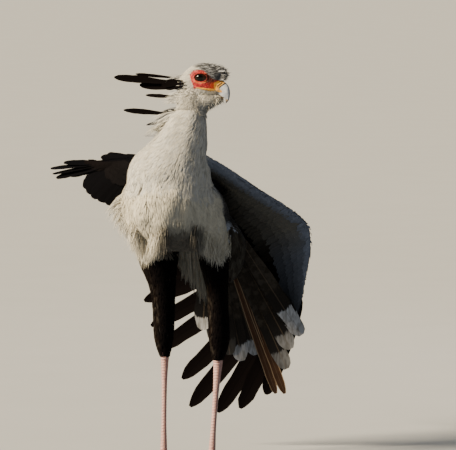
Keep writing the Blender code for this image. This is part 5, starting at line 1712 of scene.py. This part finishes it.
# Short crest feathers over the roots of the long ones: root, tip and width
SHORT_CREST = (
    ((-0.020, -0.108, 1.1480), (-0.072, -0.075, 1.1455), 0.012),
    ((-0.017, -0.109, 1.1400), (-0.084, -0.080, 1.1340), 0.015),
    ((-0.020, -0.108, 1.1310), (-0.072, -0.078, 1.1240), 0.013),
)
for rows, tones in ((HEAD_CREST, (0.99,) * 4), (SHORT_CREST, (0.99, 0.97, 0.99)), (NAPE_CREST, (0.99, 0.80)), (MANE_CREST, (0.99, 0.25))):
    for k, (root, tip, width) in enumerate(rows):
        width *= 1.0 if tones[k] > 0.9 else 0.5
        feathers.append(quill(root, tip, (0.15, 0.96, 0.2 - 0.12 * k), width, SPATULA, rng, 0.004))
        dark.append(tones[k])
dress(quill_mesh("crest_feathers", feathers, rng, dark=dark, warm=0.3), SLEEK, slot="plumage_black")


UNDERTAIL = [
    ((-0.050 + 0.018 * k, 0.055, 0.680), (-0.040 + 0.020 * k, 0.118, 0.600 - 0.030 * k), (0, 0.006, 0.004), 0.10, 0.95)
    for k in range(5)
] + [
    ((-0.020 + 0.014 * k, 0.075, 0.640), (-0.012 + 0.014 * k, 0.122, 0.545 - 0.017 * k), (0, 0.004, 0.0), 0.14, 0.95)
    for k in range(5)
]
NAPE_WISPS = (
    ((-0.020, -0.082, 1.156), (-0.066, -0.070, 1.149), (0, 0, 0.003), 0.20, 0.5),
    ((-0.026, -0.086, 1.108), (-0.068, -0.070, 1.106), (0, 0, 0.002), 0.05, 0.6),
    ((-0.030, -0.085, 1.096), (-0.077, -0.050, 1.092), (0, 0, 0.003), 0.10, 0.6),
    ((-0.028, -0.088, 1.084), (-0.084, -0.055, 1.080), (0, 0, 0.002), 0.08, 0.6),
    ((-0.023, -0.090, 1.061), (-0.129, -0.045, 1.012), (0, 0, 0.008), 0.25, 0.4),
    ((-0.035, -0.090, 1.050), (-0.119, -0.050, 1.029), (0, 0, 0.008), 0.12, 0.6),
    ((-0.041, -0.092, 1.046), (-0.113, -0.060, 1.007), (0, 0, 0.006), 0.12, 0.6),
    ((-0.050, -0.096, 1.032), (-0.137, -0.050, 0.981), (0, 0, 0.006), 0.12, 0.7),
    ((-0.055, -0.096, 1.020), (-0.110, -0.055, 0.986), (0, 0, 0.005), 0.05, 0.7),
    ((-0.055, -0.096, 1.025), (-0.104, -0.060, 0.997), (0, 0, 0.004), 0.90, 0.3),
    ((-0.035, -0.088, 1.058), (-0.098, -0.060, 1.043), (0, 0, 0.005), 0.96, 0.3),
    ((-0.058, -0.100, 1.000), (-0.100, -0.070, 0.970), (0, 0, 0.004), 0.04, 0.7),
)
# Wisps of the right flank: where each lock leaves the body, and its tip, across and up
FLANKS = (
    (-0.192, 0.800, -0.238, 0.762), (-0.194, 0.790, -0.255, 0.748), (-0.192, 0.780, -0.247, 0.734),
    (-0.190, 0.770, -0.237, 0.718), (-0.186, 0.758, -0.228, 0.702), (-0.181, 0.746, -0.216, 0.684),
    (-0.176, 0.735, -0.206, 0.672), (-0.170, 0.724, -0.195, 0.663), (-0.162, 0.713, -0.186, 0.655),
    (-0.154, 0.706, -0.177, 0.651), (-0.146, 0.696, -0.168, 0.638), (-0.138, 0.686, -0.156, 0.621),
    (-0.131, 0.676, -0.146, 0.606), (-0.124, 0.666, -0.136, 0.597),
)
FLANK_WISPS = tuple(
    ((x + 0.012 * layer, 0.024 * layer - 0.040, z), (u + 0.012 * layer, 0.018 * layer - 0.030, w + 0.002 * layer),
     (-0.006, 0, 0.007), 0.02 + 0.02 * layer, 0.7)
    for layer in range(3) for x, z, u, w in FLANKS
)
# Hanging white tufts over the tops of the thighs: place across and height of the tips
THIGH_TOPS = (
    (-0.172, 0.648), (-0.160, 0.620), (-0.147, 0.598), (-0.134, 0.593), (-0.122, 0.600), (-0.110, 0.616),
    (-0.096, 0.630), (-0.080, 0.640), (0.014, 0.640), (0.030, 0.632), (0.044, 0.622), (0.058, 0.610), (0.071, 0.600),
    (0.084, 0.596), (0.097, 0.600), (0.108, 0.612), (0.116, 0.632),
)


def hung_tufts(tips, rises, tree):
    """Locks that root on the front of the belly at some rises above their tips."""
    locks = []
    for across, height in tips:
        for rise in rises:
            place, normal, _, _ = tree.ray_cast(Vector((across * 0.97, -0.40, height + rise)), Vector((0, 1, 0)))
            if place is not None and place.y < 0.05:
                tip = (across, place.y + 0.5 * max(0.0, rise - 0.03) - 0.006, height + 0.2 * (rise - 0.05))
                # The tone darkens tufts between the thighs: painted shade.
                locks.append((tuple(place), tip, (0, -0.006, 0.002), 0.03 + 0.5 * painted_belly_shade(across), 0.85))
    return locks


# Hair on the forehead: root and tip, each ahead of the head's centre and above it
FOREHEAD = (
    (0.016, 0.032, 0.036, 0.0350), (0.030, 0.030, 0.050, 0.0325), (0.042, 0.026, 0.062, 0.0305),
    (0.050, 0.023, 0.070, 0.0285), (0.057, 0.021, 0.077, 0.0250), (0.062, 0.016, 0.083, 0.0195),
    (0.065, 0.010, 0.086, 0.0130), (0.067, 0.003, 0.0865, 0.0050), (0.067, -0.003, 0.085, -0.0025),
    (0.064, -0.007, 0.080, -0.0095),
)
CHIN = (
    (0.056, -0.056, 0.060, -0.066), (0.060, -0.062, 0.066, -0.072), (0.052, -0.060, 0.062, -0.079),
    (0.044, -0.064, 0.054, -0.084), (0.036, -0.068, 0.044, -0.090), (0.028, -0.072, 0.034, -0.096),
    (0.018, -0.076, 0.022, -0.102), (0.008, -0.078, 0.008, -0.108), (-0.004, -0.080, -0.008, -0.112),
    (0.030, -0.052, 0.034, -0.072), (0.012, -0.054, 0.014, -0.080), (-0.010, -0.056, -0.012, -0.086),
)


def head_locks(rows, spreads, bow, tone, warmth):
    """The rows of hair of the head, each repeated at some distances from its middle plane."""
    locks = []
    for k, (root_a, root_c, tip_a, tip_c) in enumerate(rows):
        for j, side in enumerate(spreads):
            shade = tone[(k + j) % len(tone)]
            locks.append((head_point(root_a, side * 0.9, root_c), head_point(tip_a, side * 1.15, tip_c), bow, shade, warmth))
    return locks


def lashes():
    """Stiff black lashes that fan out from the upper lids."""
    locks = []
    for hand in (1, -1):
        for angle in np.radians(np.linspace(20, 160, 15)):
            across, high = LID_OPEN[0] * math.cos(angle), LID_OPEN[1] * math.sin(angle) - EYE_DROP
            root = head_point(EYE_AHEAD + across, hand * (LID_OUT + 0.0012), high)
            tip = head_point(EYE_AHEAD + across * 1.25 + 0.002, hand * (LID_OUT + 0.0075), high + 0.0045)
            locks.append((root, tip, (0, 0, -0.0008), 0.99, 0.3))
    return locks


strands("forehead_tufts", head_locks(FOREHEAD, np.linspace(-0.011, 0.011, 7), (0, 0, 0.001), (0.75, 0.30, 0.62, 0.15), 0.35),
        13, 0.0013, (0.8, 0.7), rng, SOFT)
strands("chin_tufts", head_locks(CHIN, (-0.016, -0.008, 0, 0.008, 0.016), (0, 0, -0.001), (0.05, 0.30, 0.12, 0.02), 0.8),
        16, 0.0013, (1.2, 1.0), rng, SOFT)
strands("lashes", lashes(), 3, 0.0007, (0.10, 0.25), rng, SLEEK, "plumage_black")
strands("undertail_plumage", UNDERTAIL, 70, 0.0050, (3.0, 2.0), rng, SOFT)
strands("nape_wisps", NAPE_WISPS, 24, 0.0016, (1.5, 1.0), rng, SOFT)
strands("flank_wisps", FLANK_WISPS, 26, 0.0015, (1.8, 0.8), rng, SOFT)
belly_tree = tree_of([forms[key] for key in ("torso", "thigh_right", "thigh_left")])
strands("thigh_top_tufts", hung_tufts(THIGH_TOPS, (0.035, 0.050, 0.066, 0.082), belly_tree), 34, 0.0017, (2.6, 1.6), rng, SOFT)

plates = plates_tree()
paths = [
    tarsus_path(rows, out, share, lean) for rows in (TARSUS_RIGHT, TARSUS_LEFT)
    for out, share, lean in ((BODY_AHEAD, 0.93, 0.17), (-BODY_AHEAD, 0.90, 0.16))
]
dress(plated("leg_scales", paths, plates, SCALES, Spacing=0.0085, Overlap=0.60, Seed=3), SCALES, slot="leg_scale")
paths = toe_paths(FOOT_RIGHT, 1) + toe_paths(FOOT_LEFT, -1)
dress(plated("toe_scales", paths, plates, SCALES, Spacing=0.0065, Overlap=0.62, Seed=5), SCALES, slot="leg_scale")


def bill_half(name, rows, above, below):
    """One half of the bill, with the places of its yellow base, its ridge and its nostrils."""
    made = smooth(closed_object(name, [paired_form(rows, 14, 96, 0.0, above, below)]))
    a, s, c = face_places(places_of(made.data))
    base = step(inside_outline(CERE, a, c), -0.003, 0.002)
    gape = step(inside_outline(GAPE, a, c), -0.001, 0.001)
    put_value(made.data, "base", np.maximum(base, gape))
    tomium = np.interp(a, *zip(*((row[2], row[3]) for row in BILL_UPPER[:8])))
    edge = step(0.0035 - (c - tomium), 0, 0.003) * 0.8 if name == "bill_top" else np.full(len(a), 0.85)
    put_value(made.data, "edge", np.maximum(edge, step(-0.070 - c, 0, 0.006)))
    put_value(made.data, "ridge", step(0.0045 - np.abs(s), 0, 0.003) * (name == "bill_top"))
    slit = np.minimum(*(near_line(line, a, c) for line in SLITS))
    # The slit value marks where the bill is painted black: painted shade in the nostril openings.
    put_value(made.data, "slit", step(0.0022 - slit, 0, 0.0006))
    return made


dress(bill_half("bill_top", BILL_UPPER, 2.0, 5.0), HORN, "bill_upper", slot="bill_horn")
dress(bill_half("bill_under", BILL_LOWER, 5.0, 2.0), HORN, "bill_lower", slot="bill_horn")
for side, hand in (("right", 1), ("left", -1)):
    ball = smooth(closed_object(f"eyeball_{side}", [eye_form(hand, 0.0)]))
    a, s, c = face_places(places_of(ball.data))
    round_pupil = np.hypot(a - EYE_AHEAD, c + EYE_DROP)
    put_value(ball.data, "pupil", step(0.0100 - round_pupil, 0, 0.001))
    dress(ball, EYE, f"eye_{side}", slot="eye_dark")
for name in ("right_1", "right_2", "right_3", "right_4", "left_1", "left_2", "left_3", "left_4"):
    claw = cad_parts[f"claw_{name}"]
    claw.data.materials.clear()
    claw.data.materials.append(CLAW)

# The skin's own values: the markings and painted shade of the nearest feather root, the bare face and the legs
places = places_of(skin.data)
nearest = nearest_roots(places)
a, s, c = face_places(places)
bare_share = bare(places) * (places[:, 2] > 1.08)
reach, angle = round_eye(a, c)
put_value(skin.data, "dark", nearest[:, 3])
put_value(skin.data, "warm", nearest[:, 4])
put_value(skin.data, "tone", np.full(len(places), 0.5))
put_value(skin.data, "bare", bare_share)
put_value(skin.data, "leg", step(0.335 - places[:, 2], 0, 0.006))
put_value(skin.data, "eye_ring", np.exp(-(((reach - 1.20) / 0.11) ** 2)) * (0.45 - 0.55 * np.sin(angle - 0.7)).clip(0, 1))
put_value(skin.data, "flush", 0.8 * step(a, 0.030, 0.050) * step(-c, 0.012, 0.024))
# Where the bare skin ahead of the eye is painted darker: painted shade on the lore.
put_value(skin.data, "painted_lore_shade", step(a, 0.020, 0.034) * step(c, -0.024, -0.014) * step(0.062 - a, 0, 0.014))
cere = step(inside_outline(CERE, a, c), -0.002, 0.001)
slit = np.minimum(*(near_line(line, a, c) for line in SLITS))
put_value(skin.data, "gape", np.maximum(step(inside_outline(GAPE, a, c), -0.0012, 0.0008), cere))
# Painted shade along the groove of the mouth and in the nostril slits.
creases = 0.7 * np.exp(-((near_line(MOUTH, a, c) / 0.0009) ** 2))
put_value(skin.data, "creases", np.maximum(creases, step(0.0013 - slit, 0, 0.0005)))
dress(skin, SKIN, *PARTS, slot="skin")


def floor_piece():
    """A wide pale floor."""
    mesh = bpy.data.meshes.new("floor")
    mesh.from_pydata([(-FLOOR, -FLOOR, 0), (FLOOR, -FLOOR, 0), (FLOOR, FLOOR, 0), (-FLOOR, FLOOR, 0)], [], [(0, 1, 2, 3)])
    made = bpy.data.objects.new("floor", mesh)
    bpy.context.scene.collection.objects.link(made)
    made.data.materials.append(floor_finish())
    made.visible_diffuse = False
    made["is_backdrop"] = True


FLOOR = 90.0


def area_light(name, place, target, size, power, colour, glints=True):
    light = bpy.data.lights.new(name, "AREA")
    light.shape, light.size, light.energy, light.color = "DISK", size, power, colour
    made = bpy.data.objects.new(name, light)
    made.location, made.visible_glossy = place, glints
    made.rotation_euler = (Vector(target) - Vector(place)).to_track_quat("-Z", "Y").to_euler()
    bpy.context.scene.collection.objects.link(made)


def sun_light(name, towards, power, spread, colour):
    light = bpy.data.lights.new(name, "SUN")
    light.energy, light.angle, light.color = power, spread, colour
    made = bpy.data.objects.new(name, light)
    made.rotation_euler = Vector(towards).to_track_quat("-Z", "Y").to_euler()
    bpy.context.scene.collection.objects.link(made)


def viewer():
    """A camera at the photo's height, direction and frame."""
    camera = bpy.data.cameras.new("camera")
    camera.sensor_width, camera.lens, camera.clip_end = 36.0, 36.0 * CAMERA_AWAY / CAMERA_WIDTH, 200
    made = bpy.data.objects.new("camera", camera)
    away = Vector((0, -math.cos(CAMERA_RISE), math.sin(CAMERA_RISE))) * CAMERA_AWAY
    made.location = Vector(np.array(CAMERA_TARGET) + SHIFT) + away
    made.rotation_euler = (math.pi / 2 - CAMERA_RISE, 0, 0)
    bpy.context.scene.collection.objects.link(made)
    bpy.context.scene.camera = made


CAMERA_TARGET = (0.114, 0.0, 0.711)
CAMERA_AWAY = 15.0
CAMERA_WIDTH = 1.368
CAMERA_RISE = math.radians(4)
viewer()
floor_piece()
sun_light("key", (4.6, 2.1, -2.7), 9.0, 0.22, (1.0, 0.85, 0.62))
area_light("fill", (1.0, -5.0, 2.4), (0, 0, 0.7), 3.0, 11, (0.78, 0.88, 1.0), False)
area_light("rim", (3.0, 3.4, 3.4), (0, 0, 0.8), 2.0, 24, (0.92, 0.96, 1.0), False)
world = bpy.data.worlds.new("studio")
world.use_nodes = True
world.node_tree.nodes["Background"].inputs["Color"].default_value = (0.84, 0.89, 0.96, 1)
world.node_tree.nodes["Background"].inputs["Strength"].default_value = 0.17
bpy.context.scene.world = world

low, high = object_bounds()
